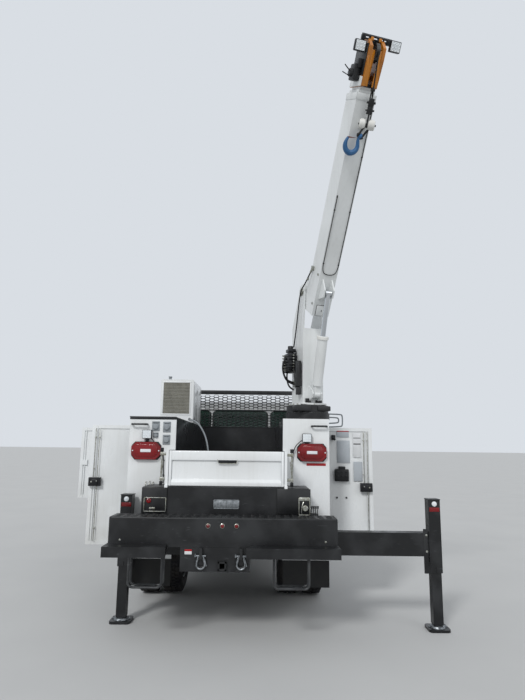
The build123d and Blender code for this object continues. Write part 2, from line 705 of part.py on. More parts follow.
# Cargo bed between the compartments: floor, sills on the rails and the headboard
with BuildPart() as cargo_bed:
    block(-bay_half_width, bay_half_width, face_y, bed_front_y, floor_top_z - floor_thickness, floor_top_z)
    for side in (-1, 1):
        block(side * (rail_out_x - rail_flange), side * rail_out_x, face_y + 10, bed_front_y,
              rail_top_z, floor_top_z - floor_thickness)
    block(-bay_half_width, bay_half_width, bed_front_y - 50, bed_front_y, floor_top_z, box_top_z)
keep(cargo_bed.part, "cargo_bed")

# Side compartments: three hollow boxes in a row with a door opening each, and a wing beside the tailgate
middle_y = face_y + rear_box_length
front_y = middle_y + middle_box_length
door_bays = [
    # name, opening from, opening to, bottom
    ("rear", face_y + door_frame + 10, middle_y - 20, door_bottom_z),
    ("middle", middle_y + 10, front_y - 20, middle_floor_z + 45),
    ("front", front_y + 20, bed_front_y - door_frame - 10, door_bottom_z),
]
hollows = [
    # from, to, bottom
    (face_y + box_wall, middle_y - 12, box_bottom_z + box_wall),
    (middle_y + 12, front_y - 12, middle_floor_z + box_wall),
    (front_y + 12, bed_front_y - box_wall, box_bottom_z + box_wall),
]


def hinge_z_list(bottom_z, top_z):
    """Heights of a door's two hinge barrels."""
    return (bottom_z + 130, top_z - 190)


with BuildPart() as right_compartments:
    block(bay_half_width, half_width, face_y, bed_front_y, box_bottom_z, box_top_z)
    for y0, y1, z0 in hollows:
        block(bay_half_width + box_wall, half_width - door_thickness, y0, y1, z0, box_top_z - box_wall,
              Mode.SUBTRACT)
    for name, y0, y1, z0 in door_bays:
        block(half_width - door_thickness - 1, half_width + 1, y0, y1, z0, door_top_z, Mode.SUBTRACT)
    rod_x(bay_half_width - 5, half_width + 5, rear_axle_y, axle_z, arch_radius, Mode.SUBTRACT)
    block(bay_half_width, bay_half_width + box_wall, face_y - wing_length, face_y, wing_bottom_z, wing_top_z)
    tailgate_axis_y = face_y - tail_depth + tailgate_thickness / 2
    tailgate_axis_z = wing_bottom_z + tailgate_gap + tailgate_pin_height
    rod_x(bay_half_width - 5, bay_half_width + box_wall + 5, tailgate_axis_y, tailgate_axis_z,
          tailgate_pin_radius + fit_gap, Mode.SUBTRACT)
    pin_x = half_width + hinge_out
    for name, y0, y1, z0 in door_bays:
        for z in hinge_z_list(z0, door_top_z):
            block(half_width, pin_x, y1, y1 + 24, z - hinge_lug_length, z - 1)
            rod_z(pin_x, y1, z - hinge_lug_length, z - 1, hinge_barrel_radius)
            rod_z(pin_x, y1, z - hinge_lug_length, z + hinge_barrel_length, hinge_pin_radius)
keep(right_compartments.part, "right_compartments")
left_compartments = mirror(right_compartments.part, about=Plane.YZ)
keep(left_compartments, "left_compartments")

# Compartment doors, built shut; the open ones are then swung out on their hinges
open_angle = 90.0
open_doors = ("right_rear", "left_rear", "left_middle")
latch_inset = 70.0
latch_rod_radius = 7.0
for name, y0, y1, z0 in door_bays:
    with BuildPart() as right_door:
        bottom = z0 + door_gap
        top = door_top_z - door_gap
        block(half_width - door_thickness, half_width, y0 + door_gap, y1 - door_gap / 2, bottom, top)
        block(half_width - door_thickness - 1, half_width - door_thickness + 12, y0 + 50, y1 - 50,
              bottom + 45, top - 45, Mode.SUBTRACT)
        latch_y = y0 + door_gap + latch_inset
        latch_x = half_width - door_thickness + 4
        rod_z(latch_x, latch_y, bottom + 8, top - 8, latch_rod_radius)
        latch_z = (bottom + top) / 2
        block(latch_x - 14, latch_x + 10, latch_y - 42, latch_y + 42, latch_z - 38, latch_z + 38)
        for z in hinge_z_list(z0, door_top_z):
            block(half_width - 4, half_width + hinge_out, y1 - 26, y1, z, z + hinge_barrel_length)
            rod_z(half_width + hinge_out, y1, z, z + hinge_barrel_length, hinge_barrel_radius)
            rod_z(half_width + hinge_out, y1, z - 1, z + hinge_barrel_length + 1, hinge_pin_radius + fit_gap,
                  Mode.SUBTRACT)
    for side_name, closed_door, side in (
        ("right", right_door.part, 1),
        ("left", mirror(right_door.part, about=Plane.YZ), -1),
    ):
        label = f"{side_name}_{name}"
        swing = side * open_angle if label in open_doors else 0
        hinge_axis = Axis((side * (half_width + hinge_out), y1, 0), (0, 0, 1))
        keep(closed_door.rotate(hinge_axis, swing), f"{label}_door")

# Outrigger housing: two tubes side by side behind the rails, with the receiver and its plates
housing_z0 = beam_z - beam_height / 2 - slide_gap - housing_wall
housing_z1 = beam_z + beam_height / 2 + slide_gap + housing_wall
tube_depth = beam_depth + 2 * slide_gap + 2 * housing_wall
left_beam_y = rail_rear_y - tube_depth / 2
right_beam_y = left_beam_y - tube_depth
housing_rear_y = right_beam_y - tube_depth / 2
receiver_z = housing_z0 - 20.0
receiver_outer = 64.0
receiver_inner = 51.0
receiver_rear_y = face_y - 820.0
hitch_pin_radius = 8.3
hitch_pin_y = receiver_rear_y + 70.0
hitch_plate_y = face_y - tail_depth - bench_depth - 5.0
hitch_plate_span = (-430.0, 280.0)
cheek_thickness = 12.0
shackle_places = (-217.0, 190.0)
shackle_ring = 48.0
shackle_bar = 11.0
shackle_z = 765.0
with BuildPart() as outrigger_housing:
    block(-housing_half_length, housing_half_length, housing_rear_y, rail_rear_y, housing_z0, housing_z1)
    for y in (left_beam_y, right_beam_y):
        block(-housing_half_length - 1, housing_half_length + 1,
              y - beam_depth / 2 - slide_gap, y + beam_depth / 2 + slide_gap,
              beam_z - beam_height / 2 - slide_gap, beam_z + beam_height / 2 + slide_gap, Mode.SUBTRACT)
    # Receiver, its cheeks and the cross plate with the shackle lugs
    block(-receiver_outer / 2, receiver_outer / 2, receiver_rear_y, housing_rear_y,
          receiver_z - receiver_outer / 2, receiver_z + receiver_outer / 2)
    for side in (-1, 1):
        block(side * receiver_outer / 2, side * (receiver_outer / 2 + cheek_thickness), hitch_plate_y,
              housing_rear_y, receiver_z - 50, bench_bottom_z)
    block(*hitch_plate_span, hitch_plate_y, hitch_plate_y + 14, receiver_z - 60, bench_bottom_z)
    block(-receiver_inner / 2, receiver_inner / 2, receiver_rear_y - 1, housing_rear_y - 30,
          receiver_z - receiver_inner / 2, receiver_z + receiver_inner / 2, Mode.SUBTRACT)
    pin_reach = receiver_outer / 2 + cheek_thickness + 1
    rod_x(-pin_reach, pin_reach, hitch_pin_y, receiver_z, hitch_pin_radius, Mode.SUBTRACT)
    for x0 in shackle_places:
        block(x0 - 14, x0 + 14, hitch_plate_y - 46, hitch_plate_y,
              shackle_z + shackle_ring - 15, bench_bottom_z)
        with Locations(Location((x0, hitch_plate_y - 22, shackle_z), (90, 0, 0))):
            Torus(shackle_ring, shackle_bar)
keep(outrigger_housing.part, "outrigger_housing")

# Outrigger beams with their jack sleeves, and the legs that slide in them
sleeve_half = sleeve_size / 2
end_plate = 12.0
leg_half = sleeve_half - sleeve_wall - slide_gap
beam_table = [
    # name, side, beam line, leg centre
    ("left", -1, left_beam_y, left_leg_x),
    ("right", 1, right_beam_y, right_leg_x),
]
for name, side, y, leg_x in beam_table:
    beam_end_x = leg_x - side * sleeve_half
    with BuildPart() as beam:
        block(beam_end_x - side * beam_length, beam_end_x, y - beam_depth / 2, y + beam_depth / 2,
              beam_z - beam_height / 2, beam_z + beam_height / 2)
        block(leg_x - sleeve_half, leg_x + sleeve_half, y - sleeve_half, y + sleeve_half,
              sleeve_bottom_z, sleeve_top_z)
        bore_half = leg_half + slide_gap
        block(leg_x - bore_half, leg_x + bore_half, y - bore_half, y + bore_half,
              sleeve_bottom_z - 1, sleeve_top_z - 20, Mode.SUBTRACT)
        # End plate between the beam and its sleeve
        block(beam_end_x, beam_end_x - side * end_plate, y - beam_depth / 2 - 18, y + beam_depth / 2 + 18,
              beam_z - beam_height / 2 - 60, beam_z + beam_height / 2 + 20)
    keep(beam.part, f"{name}_beam")
    with BuildPart() as leg:
        block(leg_x - leg_half, leg_x + leg_half, y - leg_half, y + leg_half, pad_thickness + 30, leg_top_z)
        with Locations((leg_x, y, pad_thickness + 30)):
            Cylinder(52, 60)
        with BuildSketch(Plane.XY):
            with Locations((leg_x, y)):
                RectangleRounded(pad_size, pad_size, 40)
        extrude(amount=pad_thickness)
    keep(leg.part, f"{name}_leg")

# Riser behind the compartments, over the outrigger housing
riser_wall = 8.0
riser_rear_y = face_y - tail_depth
with BuildPart() as tail_riser:
    block(-riser_half_width, riser_half_width, riser_rear_y, face_y, housing_z1, wing_bottom_z)
    block(-riser_half_width + riser_wall, riser_half_width - riser_wall,
          riser_rear_y + riser_wall, face_y - riser_wall,
          housing_z1 + riser_wall, wing_bottom_z - riser_wall, Mode.SUBTRACT)
keep(tail_riser.part, "tail_riser")

# Tailgate on two end pins in the wings
tailgate_half = bay_half_width - door_gap
tailgate_bottom_z = wing_bottom_z + tailgate_gap
with BuildPart() as tailgate:
    block(-tailgate_half, tailgate_half, riser_rear_y, riser_rear_y + tailgate_thickness,
          tailgate_bottom_z, tailgate_top_z)
    block(-tailgate_half + 60, tailgate_half - 60, riser_rear_y - 1, riser_rear_y + 10,
          tailgate_bottom_z + 160, tailgate_top_z - 110, Mode.SUBTRACT)
    block(-tailgate_half + 60, tailgate_half - 60, riser_rear_y - 1, riser_rear_y + 6,
          tailgate_bottom_z + 40, tailgate_bottom_z + 110, Mode.SUBTRACT)
    for side in (-1, 1):
        rod_x(side * (tailgate_half - 5), side * (bay_half_width + box_wall),
              tailgate_axis_y, tailgate_axis_z, tailgate_pin_radius)
keep(tailgate.part, "tailgate")

# Workbench bumper with a lower step at each side
bench_front_y = riser_rear_y
bench_rear_y = riser_rear_y - bench_depth
step_rear_y = bench_rear_y - step_depth
step_front_y = bench_front_y - 40.0
step_outlines = [
    # inner rear corner, inner front corner, outer edge
    (-550.0, -610.0, -bench_half_width),
    (245.0, 436.0, bench_half_width),
]
with BuildPart() as workbench:
    block(-bench_half_width, bench_half_width, bench_rear_y, bench_front_y, bench_bottom_z, bench_top_z)
    fillet(workbench.edges().filter_by(Axis.Z).group_by(Axis.Y)[0], 40)
    fillet(workbench.faces().sort_by(Axis.Z)[-1].edges(), 12)
    for inner_rear, inner_front, outer in step_outlines:
        with BuildSketch(Plane.XY.offset(step_top_z - step_thickness)):
            with BuildLine():
                Polyline((inner_rear, step_rear_y), (outer, step_rear_y), (outer, step_front_y),
                         (inner_front, step_front_y), close=True)
            make_face()
        extrude(amount=step_thickness)
keep(workbench.part, "workbench")

# Stirrup steps under the lower steps, and the grab handles on the compartments' rear faces
stirrup_radius = 12.0
stirrup_drop = 285.0
stirrup_y = step_rear_y + 60.0
stirrup_spans = [(-913.0, -587.0), (523.0, 868.0)]
handle_radius = 11.0
handle_z = box_top_z - 90.0
handle_span = (985.0, 1165.0)
with BuildPart() as steps_and_handles:
    stirrup_top = step_top_z - step_thickness
    for x0, x1 in stirrup_spans:
        for y in (stirrup_y, stirrup_y + 110):
            with BuildLine() as stirrup_path:
                FilletPolyline((x0, y, stirrup_top), (x0, y, stirrup_top - stirrup_drop),
                               (x1, y, stirrup_top - stirrup_drop), (x1, y, stirrup_top), radius=45)
            with BuildSketch(Plane(origin=(x0, y, stirrup_top), z_dir=(0, 0, -1))):
                Circle(stirrup_radius)
            sweep(path=stirrup_path.line)
        tread_z = stirrup_top - stirrup_drop
        block(x0 + 60, x1 - 60, stirrup_y, stirrup_y + 110, tread_z - 6, tread_z + 6)
    for side in (-1, 1):
        x0 = side * handle_span[0]
        x1 = side * handle_span[1]
        with BuildLine() as handle_path:
            FilletPolyline((x0, face_y, handle_z), (x0, face_y - 55, handle_z), (x1, face_y - 55, handle_z),
                           (x1, face_y, handle_z), radius=22)
        with BuildSketch(Plane(origin=(x0, face_y, handle_z), z_dir=(0, -1, 0))):
            Circle(handle_radius)
        sweep(path=handle_path.line)
keep(steps_and_handles.part, "steps_and_handles")

# Mud flaps behind the rear wheels, hung from the compartment floors
flap_y = face_y + 75.0
flap_bottom_z = 330.0
with BuildPart() as mud_flaps:
    for side in (-1, 1):
        block(side * (bay_half_width + 10), side * (half_width - 5), flap_y - 10, flap_y,
              flap_bottom_z, box_bottom_z)
keep(mud_flaps.part, "mud_flaps")

# Tail lamps on the rear faces: long housings with clipped ends
lamp_half_length = 172.0
lamp_half_height = 102.0
tail_lamp_x = 985.0
tail_lamp_z = 1860.0
lamp_clip = 55.0
with BuildPart() as tail_lamps:
    with BuildSketch(Plane.XZ.offset(-face_y)) as lamp_outline:
        for side in (-1, 1):
            with Locations((side * tail_lamp_x, tail_lamp_z)):
                Rectangle(2 * lamp_half_length, 2 * lamp_half_height)
        chamfer(lamp_outline.vertices(), lamp_clip)
    extrude(amount=45)
keep(tail_lamps.part, "tail_lamps")

# Headache rack on the front of the body: three windows, and above them a thin screen between frame bars
rack_y = bed_front_y - 40.0
rack_half_width = 1120.0
rack_top_z = 2930.0
rack_bar = 70.0
rack_window = (1010.0, 240.0)
rack_side_window = (490.0, 240.0)
rack_side_window_x = 805.0
rack_window_z = 2396.0
rack_screen_z = 2540.0
rack_screen_thickness = 8.0
with BuildPart() as headache_rack:
    block(-rack_half_width, rack_half_width, rack_y - rack_bar / 2, rack_y + rack_bar / 2,
          box_top_z, rack_top_z)
    for direction in (-1, 1):
        block(-rack_half_width + rack_bar, rack_half_width - rack_bar,
              rack_y + direction * rack_screen_thickness / 2, rack_y + direction * (rack_bar / 2 + 1),
              rack_screen_z, rack_top_z - rack_bar, Mode.SUBTRACT)
    with BuildSketch(Plane.XZ.offset(-(rack_y - rack_bar / 2 - 1))):
        with Locations((0, rack_window_z)):
            RectangleRounded(rack_window[0], rack_window[1], 60)
        with Locations((-rack_side_window_x, rack_window_z), (rack_side_window_x, rack_window_z)):
            RectangleRounded(rack_side_window[0], rack_side_window[1], 60)
    extrude(amount=-(rack_bar + 2), mode=Mode.SUBTRACT)
keep(headache_rack.part, "headache_rack")

# Power unit on the street-side compartments, with a finned cooler in its rear face
unit_x0 = -1150.0
unit_x1 = -650.0
unit_y0 = face_y + 1650.0
unit_length = 1000.0
unit_height = 660.0
fin_count = 17
with BuildPart() as power_unit:
    block(unit_x0, unit_x1, unit_y0, unit_y0 + unit_length, box_top_z, box_top_z + unit_height)
    fillet(power_unit.edges().filter_by(Axis.Y).group_by(Axis.Z)[-1], 30)
    block(unit_x0 + 40, unit_x1 - 60, unit_y0 - 1, unit_y0 + 45,
          box_top_z + 140, box_top_z + unit_height - 50, Mode.SUBTRACT)
    fin_step = (unit_height - 190) / (fin_count + 1)
    for i in range(fin_count):
        z = box_top_z + 140 + fin_step * (i + 1)
        block(unit_x0 + 40, unit_x1 - 60, unit_y0 + 8, unit_y0 + 45, z - 5, z + 5)
keep(power_unit.part, "power_unit")

# Crane pedestal: the fixed ring on the curb-side rear compartment and the column inside it
column_half = 130.0
with BuildPart() as crane_pedestal:
    rod_z(crane_x, crane_y, box_top_z, box_top_z + pedestal_height, pedestal_radius)
    block(crane_x - column_half, crane_x + column_half, crane_y - column_half, crane_y + column_half,
          box_bottom_z + box_wall, box_top_z - box_wall)
keep(crane_pedestal.part, "crane_pedestal")

# Directions of the crane: reach is level and away from the mast, the boom rises along boom_dir
azimuth = math.radians(crane_azimuth)
elevation = math.radians(boom_elevation)
reach_dir = Vector(math.sin(azimuth), -math.cos(azimuth), 0)
side_dir = Vector(math.cos(azimuth), math.sin(azimuth), 0)
up_dir = Vector(0, 0, 1)
boom_dir = reach_dir * math.cos(elevation) + up_dir * math.sin(elevation)
boom_up = reach_dir * -math.sin(elevation) + up_dir * math.cos(elevation)
mast_plane = Plane(origin=(crane_x, crane_y, 0), x_dir=reach_dir, z_dir=side_dir * -1)
pivot = Vector(crane_x, crane_y, pivot_z) + reach_dir * pivot_reach
boom_plane = Plane(origin=pivot, x_dir=boom_dir, z_dir=side_dir * -1)

# Turret: slewing ring, mast box below and two cheek plates round the boom's pivot
ring_z0 = box_top_z + pedestal_height + bearing_gap
mast_z0 = ring_z0 + ring_height
mast_half = boom_width / 2 + stage_gap + mast_plate
fork_z = pivot_z - 475.0
lift_pivot_reach = 290.0
lift_pivot_z = 2560.0
lift_pin_radius = 22.0
barrel_radius = 62.0
barrel_eye_half = 38.0
with BuildPart() as turret:
    rod_z(crane_x, crane_y, ring_z0, mast_z0, 250)
    with BuildSketch(mast_plane.offset(-mast_half)):
        with BuildLine():
            Polyline(
                (-200, mast_z0), (190, mast_z0), (200, fork_z), (pivot_reach + 90, pivot_z - 40),
                (pivot_reach + 90, pivot_z + 60),
                (pivot_reach + 30, pivot_z + 100), (pivot_reach - 60, pivot_z + 90),
                (pivot_reach - 110, pivot_z - 20),
                (-190, fork_z + 60), (-200, mast_z0 + 200), close=True,
            )
        make_face()
    extrude(amount=2 * mast_half)
    with BuildSketch(mast_plane.offset(-(boom_width / 2 + stage_gap))):
        with Locations((100, fork_z + 500)):
            Rectangle(1200, 1000)
    extrude(amount=boom_width + 2 * stage_gap, mode=Mode.SUBTRACT)
    with BuildSketch(mast_plane.offset(-mast_half)):
        with Locations((pivot_reach, pivot_z)):
            Circle(boom_pin_radius)
    extrude(amount=2 * mast_half)
    # Lugs and pin for the foot of the lift cylinder
    lug_plate = 18.0
    for lug_from in (barrel_eye_half + 6, -(barrel_eye_half + 6 + lug_plate)):
        with BuildSketch(mast_plane.offset(lug_from)):
            with BuildLine():
                Polyline(
                    (180, lift_pivot_z - 90), (lift_pivot_reach + 20, lift_pivot_z - 45),
                    (lift_pivot_reach + 45, lift_pivot_z),
                    (lift_pivot_reach + 20, lift_pivot_z + 45), (180, lift_pivot_z + 120), close=True,
                )
            make_face()
        extrude(amount=lug_plate)
    with BuildSketch(mast_plane.offset(-(barrel_eye_half + 20))):
        with Locations((lift_pivot_reach, lift_pivot_z)):
            Circle(lift_pin_radius)
    extrude(amount=2 * (barrel_eye_half + 20))
keep(turret.part, "turret")

# Boom base: a box tube with ears up to its pivot and the bracket for the lift cylinder's rod
bracket_s = 150.0
bracket_drop = 95.0
ear_plate = 24.0
ear_radius = 78.0
bracket_half = barrel_eye_half + 12.0
bracket_plate = 16.0
with BuildPart() as boom_base:
    with BuildSketch(boom_plane.offset(-boom_width / 2)):
        with BuildLine():
            Polyline(
                (-boom_tail, -boom_drop), (base_end, -boom_drop), (base_end, -boom_drop + boom_height),
                (-boom_tail, -boom_drop + boom_height), close=True,
            )
        make_face()
    extrude(amount=boom_width)
    inner_width = boom_width - 2 * boom_wall
    inner_height = boom_height - 2 * boom_wall
    section_middle = -boom_drop + boom_height / 2
    tube_origin = pivot + boom_dir * (-boom_tail + 12) + boom_up * section_middle
    tube_start = Plane(origin=tube_origin, x_dir=side_dir, z_dir=boom_dir)
    with BuildSketch(tube_start):
        Rectangle(inner_width, inner_height)
    extrude(amount=base_end + boom_tail, mode=Mode.SUBTRACT)
    for ear_from in (boom_width / 2 - ear_plate, -boom_width / 2):
        with BuildSketch(boom_plane.offset(ear_from)):
            with BuildLine():
                Polyline(
                    (-boom_tail, -boom_drop + boom_height), (300, -boom_drop + boom_height),
                    (60, 40), (-60, 40), (-110, -20), close=True,
                )
            make_face()
            Circle(ear_radius)
            Circle(boom_pin_radius + fit_gap, mode=Mode.SUBTRACT)
        extrude(amount=ear_plate)
    for bracket_from in (bracket_half, -bracket_half - bracket_plate):
        with BuildSketch(boom_plane.offset(bracket_from)):
            with BuildLine():
                Polyline(
                    (bracket_s - 110, -boom_drop), (bracket_s - 45, -boom_drop - bracket_drop - 35),
                    (bracket_s + 45, -boom_drop - bracket_drop - 35), (bracket_s + 140, -boom_drop),
                    close=True,
                )
            make_face()
        extrude(amount=bracket_plate)
keep(boom_base.part, "boom_base")

# Inner boom stages: each a box tube with a thicker heel that fits the tube outside it
heel_length = 140.0
middle_out_width = inner_width - 2 * slide_gap
middle_out_height = inner_height - 2 * slide_gap
middle_width = middle_out_width - 2 * stage_gap
middle_height = middle_out_height - 2 * stage_gap
middle_start = -140.0
middle_end = base_end + stage_lip
middle_wall = 9.0


def boom_section(s):
    """The plane across the boom at a distance along it from the pivot."""
    return Plane(origin=pivot + boom_dir * s + boom_up * section_middle, x_dir=side_dir, z_dir=boom_dir)


with BuildPart() as boom_middle:
    with BuildSketch(boom_section(middle_start)):
        Rectangle(middle_out_width, middle_out_height)
    extrude(amount=heel_length)
    with BuildSketch(boom_section(middle_start + heel_length)):
        Rectangle(middle_width, middle_height)
    extrude(amount=middle_end - middle_start - heel_length)
    with BuildSketch(boom_section(middle_start - 1)):
        Rectangle(middle_width - 2 * middle_wall, middle_height - 2 * middle_wall)
    extrude(amount=middle_end - middle_start + 2, mode=Mode.SUBTRACT)
keep(boom_middle.part, "boom_middle")

tip_out_width = middle_width - 2 * middle_wall - 2 * slide_gap
tip_out_height = middle_height - 2 * middle_wall - 2 * slide_gap
tip_width = tip_out_width - 2 * stage_gap
tip_height = tip_out_height - 2 * stage_gap
tip_start = middle_start + 20.0
tip_end = middle_end + stage_lip
with BuildPart() as boom_tip:
    with BuildSketch(boom_section(tip_start)):
        Rectangle(tip_out_width, tip_out_height)
    extrude(amount=heel_length)
    with BuildSketch(boom_section(tip_start + heel_length)):
        Rectangle(tip_width, tip_height)
    extrude(amount=tip_end - tip_start - heel_length)
    with BuildSketch(boom_section(tip_start - 1)):
        Rectangle(tip_width - 16, tip_height - 16)
    extrude(amount=tip_end - tip_start - 40, mode=Mode.SUBTRACT)
keep(boom_tip.part, "boom_tip")

# Boom head: two cheek plates with sheaves between them, on the end of the last stage
head_plate = 34.0
head_half = 92.0
head_start = tip_end
sheave_radius = 95.0
rope_radius = 9.0
hook_line = -boom_drop - 75.0
sheave_n = hook_line + rope_radius + fit_gap + sheave_radius
sheave_s = head_start + head_length - 130.0
with BuildPart() as boom_head:
    for plate_from in (head_half - head_plate, -head_half):
        with BuildSketch(boom_plane.offset(plate_from)):
            with BuildLine():
                Polyline(
                    (head_start, -boom_drop - 10), (sheave_s - 60, -boom_drop - 40),
                    (sheave_s + 50, -boom_drop - 40),
                    (head_start + head_length, -boom_drop + 60),
                    (head_start + head_length, -boom_drop + boom_height - 60),
                    (head_start + head_length - 60, -boom_drop + boom_height + 10),
                    (head_start, -boom_drop + boom_height + 10),
                    close=True,
                )
            make_face()
        extrude(amount=head_plate)
    with BuildSketch(boom_plane.offset(-(head_half - 5))):
        with Locations((sheave_s, sheave_n)):
            Circle(28)
        with Locations((head_start + 120, -boom_drop + boom_height - 70)):
            Circle(28)
        with Locations((head_start + 18, -boom_drop + boom_height / 2)):
            Rectangle(36, boom_height - 60)
    extrude(amount=2 * (head_half - 5))
    with BuildSketch(boom_plane.offset(-22)):
        with Locations((sheave_s, sheave_n)):
            Circle(sheave_radius)
        with Locations((head_start + 120, -boom_drop + boom_height - 70)):
            Circle(60)
    extrude(amount=44)
keep(boom_head.part, "boom_head")

# Hook block stowed along the underside of the boom, below the head
swivel_s = head_start - 110.0
block_s = swivel_s - 165.0
hook_s = block_s - 190.0
with BuildPart() as hook_block:
    hook_origin = pivot + boom_up * hook_line
    with BuildSketch(Plane(origin=hook_origin + boom_dir * block_s, x_dir=side_dir, z_dir=boom_dir)):
        Circle(34)
    extrude(amount=165)
    with BuildSketch(Plane(origin=hook_origin + boom_dir * swivel_s, x_dir=side_dir, z_dir=boom_dir)):
        Circle(rope_radius)
    extrude(amount=sheave_s - swivel_s)
    with BuildSketch(boom_plane.offset(-62)):
        with Locations((block_s, hook_line)):
            Circle(52)
    extrude(amount=124)
    with BuildSketch(boom_plane.offset(-18)):
        with Locations((block_s - 75, hook_line)):
            Rectangle(150, 44)
        with Locations((hook_s - 10, hook_line)):
            Circle(66)
            Circle(36, mode=Mode.SUBTRACT)
            with Locations((26, 44)):
                Rectangle(44, 44, mode=Mode.SUBTRACT)
    extrude(amount=36)
keep(hook_block.part, "hook_block")

# Lift cylinder: the barrel from its foot on the mast, the rod up to the boom's bracket
rod_eye = pivot + boom_dir * bracket_s - boom_up * (boom_drop + bracket_drop)
lift_foot = Vector(crane_x, crane_y, lift_pivot_z) + reach_dir * lift_pivot_reach
lift_dir = (rod_eye - lift_foot).normalized()
barrel_length = 712.0
barrel_start = 110.0
bore_start = 56.0
rod_radius = 30.0
rod_reach_back = 694.0
rod_eye_radius = 32.0
lift_plane = Plane(origin=lift_foot, x_dir=lift_dir, z_dir=side_dir * -1)
with BuildPart() as lift_barrel:
    with BuildSketch(Plane(origin=lift_foot + lift_dir * barrel_start, x_dir=side_dir, z_dir=lift_dir)):
        Circle(barrel_radius)
    extrude(amount=barrel_length - barrel_start)
    with BuildSketch(lift_plane.offset(-barrel_eye_half)):
        Circle(48)
        with Locations((barrel_start / 2 + 5, 0)):
            Rectangle(barrel_start + 10, 80)
    extrude(amount=2 * barrel_eye_half)
    with BuildSketch(lift_plane.offset(-barrel_eye_half - 1)):
        Circle(lift_pin_radius + fit_gap)
    extrude(amount=2 * barrel_eye_half + 2, mode=Mode.SUBTRACT)
    with BuildSketch(Plane(origin=lift_foot + lift_dir * bore_start, x_dir=side_dir, z_dir=lift_dir)):
        Circle(rod_radius + fit_gap)
    extrude(amount=barrel_length, mode=Mode.SUBTRACT)
keep(lift_barrel.part, "lift_barrel")

with BuildPart() as lift_rod:
    with BuildSketch(Plane(origin=rod_eye - lift_dir * rod_reach_back, x_dir=side_dir, z_dir=lift_dir)):
        Circle(rod_radius)
    extrude(amount=rod_reach_back)
    with BuildSketch(boom_plane.offset(-barrel_eye_half)):
        with Locations((bracket_s, -boom_drop - bracket_drop)):
            Circle(rod_eye_radius)
    extrude(amount=2 * barrel_eye_half)
keep(lift_rod.part, "lift_rod")
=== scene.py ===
# %% [markdown]
# # A mechanic's service truck with a telescopic crane
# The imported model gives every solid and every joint. This script dresses it: paint, rubber, glass and chrome on
# the solids, and the lamps, latches, hoses and plates that a builder of such trucks screws on last.

# %% The frame and the tools
import json
import math

import bmesh
import bpy
from mathutils import Matrix, Vector


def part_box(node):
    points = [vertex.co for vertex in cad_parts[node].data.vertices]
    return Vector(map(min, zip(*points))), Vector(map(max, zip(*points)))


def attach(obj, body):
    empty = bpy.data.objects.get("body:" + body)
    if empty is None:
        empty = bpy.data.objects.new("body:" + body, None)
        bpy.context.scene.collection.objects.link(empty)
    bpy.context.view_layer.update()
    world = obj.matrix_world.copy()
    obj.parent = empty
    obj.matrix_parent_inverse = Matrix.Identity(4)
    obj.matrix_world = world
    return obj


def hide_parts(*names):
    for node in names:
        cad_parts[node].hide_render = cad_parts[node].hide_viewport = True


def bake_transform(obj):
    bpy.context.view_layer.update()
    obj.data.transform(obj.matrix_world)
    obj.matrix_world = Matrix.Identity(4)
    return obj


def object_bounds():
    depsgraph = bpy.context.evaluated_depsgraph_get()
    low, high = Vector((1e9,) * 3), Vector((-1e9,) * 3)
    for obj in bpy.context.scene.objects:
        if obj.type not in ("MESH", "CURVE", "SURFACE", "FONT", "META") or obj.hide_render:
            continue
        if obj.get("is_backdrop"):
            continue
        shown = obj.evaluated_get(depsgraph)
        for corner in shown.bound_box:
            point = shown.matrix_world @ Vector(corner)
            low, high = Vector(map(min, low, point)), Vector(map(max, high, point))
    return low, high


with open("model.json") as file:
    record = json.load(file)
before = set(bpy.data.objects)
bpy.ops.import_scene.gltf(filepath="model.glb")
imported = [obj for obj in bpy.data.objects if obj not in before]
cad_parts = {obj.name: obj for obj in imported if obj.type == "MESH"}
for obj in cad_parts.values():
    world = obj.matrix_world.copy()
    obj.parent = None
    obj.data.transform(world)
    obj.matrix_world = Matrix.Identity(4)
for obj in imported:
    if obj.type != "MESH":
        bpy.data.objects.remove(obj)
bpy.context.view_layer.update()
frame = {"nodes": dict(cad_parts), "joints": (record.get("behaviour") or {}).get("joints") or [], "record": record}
nodes = frame["nodes"]
joints = {joint["name"]: joint for joint in frame["joints"]}

# %% [markdown]
# ## The camera
# The photo was taken by hand from behind the truck at eye height, tilted up to take in the raised boom. The
# values below were fitted to the corners of the compartments, the jack pads and the doors. Sensor and lens are set
# for the long side of a 525 x 700 picture.

# %% Camera
photo_size = (525, 700)
focal_pixels = 537.06
eye = Vector((0.3645, -9.142, 1.9146))
pitch = math.radians(10.27)
roll = math.radians(0.70)
yaw = math.radians(0.165)

ahead_level = Vector((math.sin(yaw), math.cos(yaw), 0))
right_level = Vector((math.cos(yaw), -math.sin(yaw), 0))
ahead = ahead_level * math.cos(pitch) + Vector((0, 0, math.sin(pitch)))
above = ahead_level * -math.sin(pitch) + Vector((0, 0, math.cos(pitch)))
camera_right = right_level * math.cos(roll) + above * math.sin(roll)
camera_up = above * math.cos(roll) - right_level * math.sin(roll)
camera_data = bpy.data.cameras.new("camera")
camera_data.sensor_fit = "AUTO"
camera_data.sensor_width = 36.0
camera_data.lens = focal_pixels / photo_size[1] * camera_data.sensor_width
camera_data.clip_end = 1000.0
camera = bpy.data.objects.new("camera", camera_data)
bpy.context.scene.collection.objects.link(camera)
camera.matrix_world = Matrix.Translation(eye) @ Matrix((camera_right, camera_up, -ahead)).transposed().to_4x4()
bpy.context.scene.camera = camera
print("lens", round(camera_data.lens, 2))

# %% [markdown]
# ## Colours and nodes
# Colours are written as the sRGB hex values that an eye or a paint chart gives, and shaders want them linear.


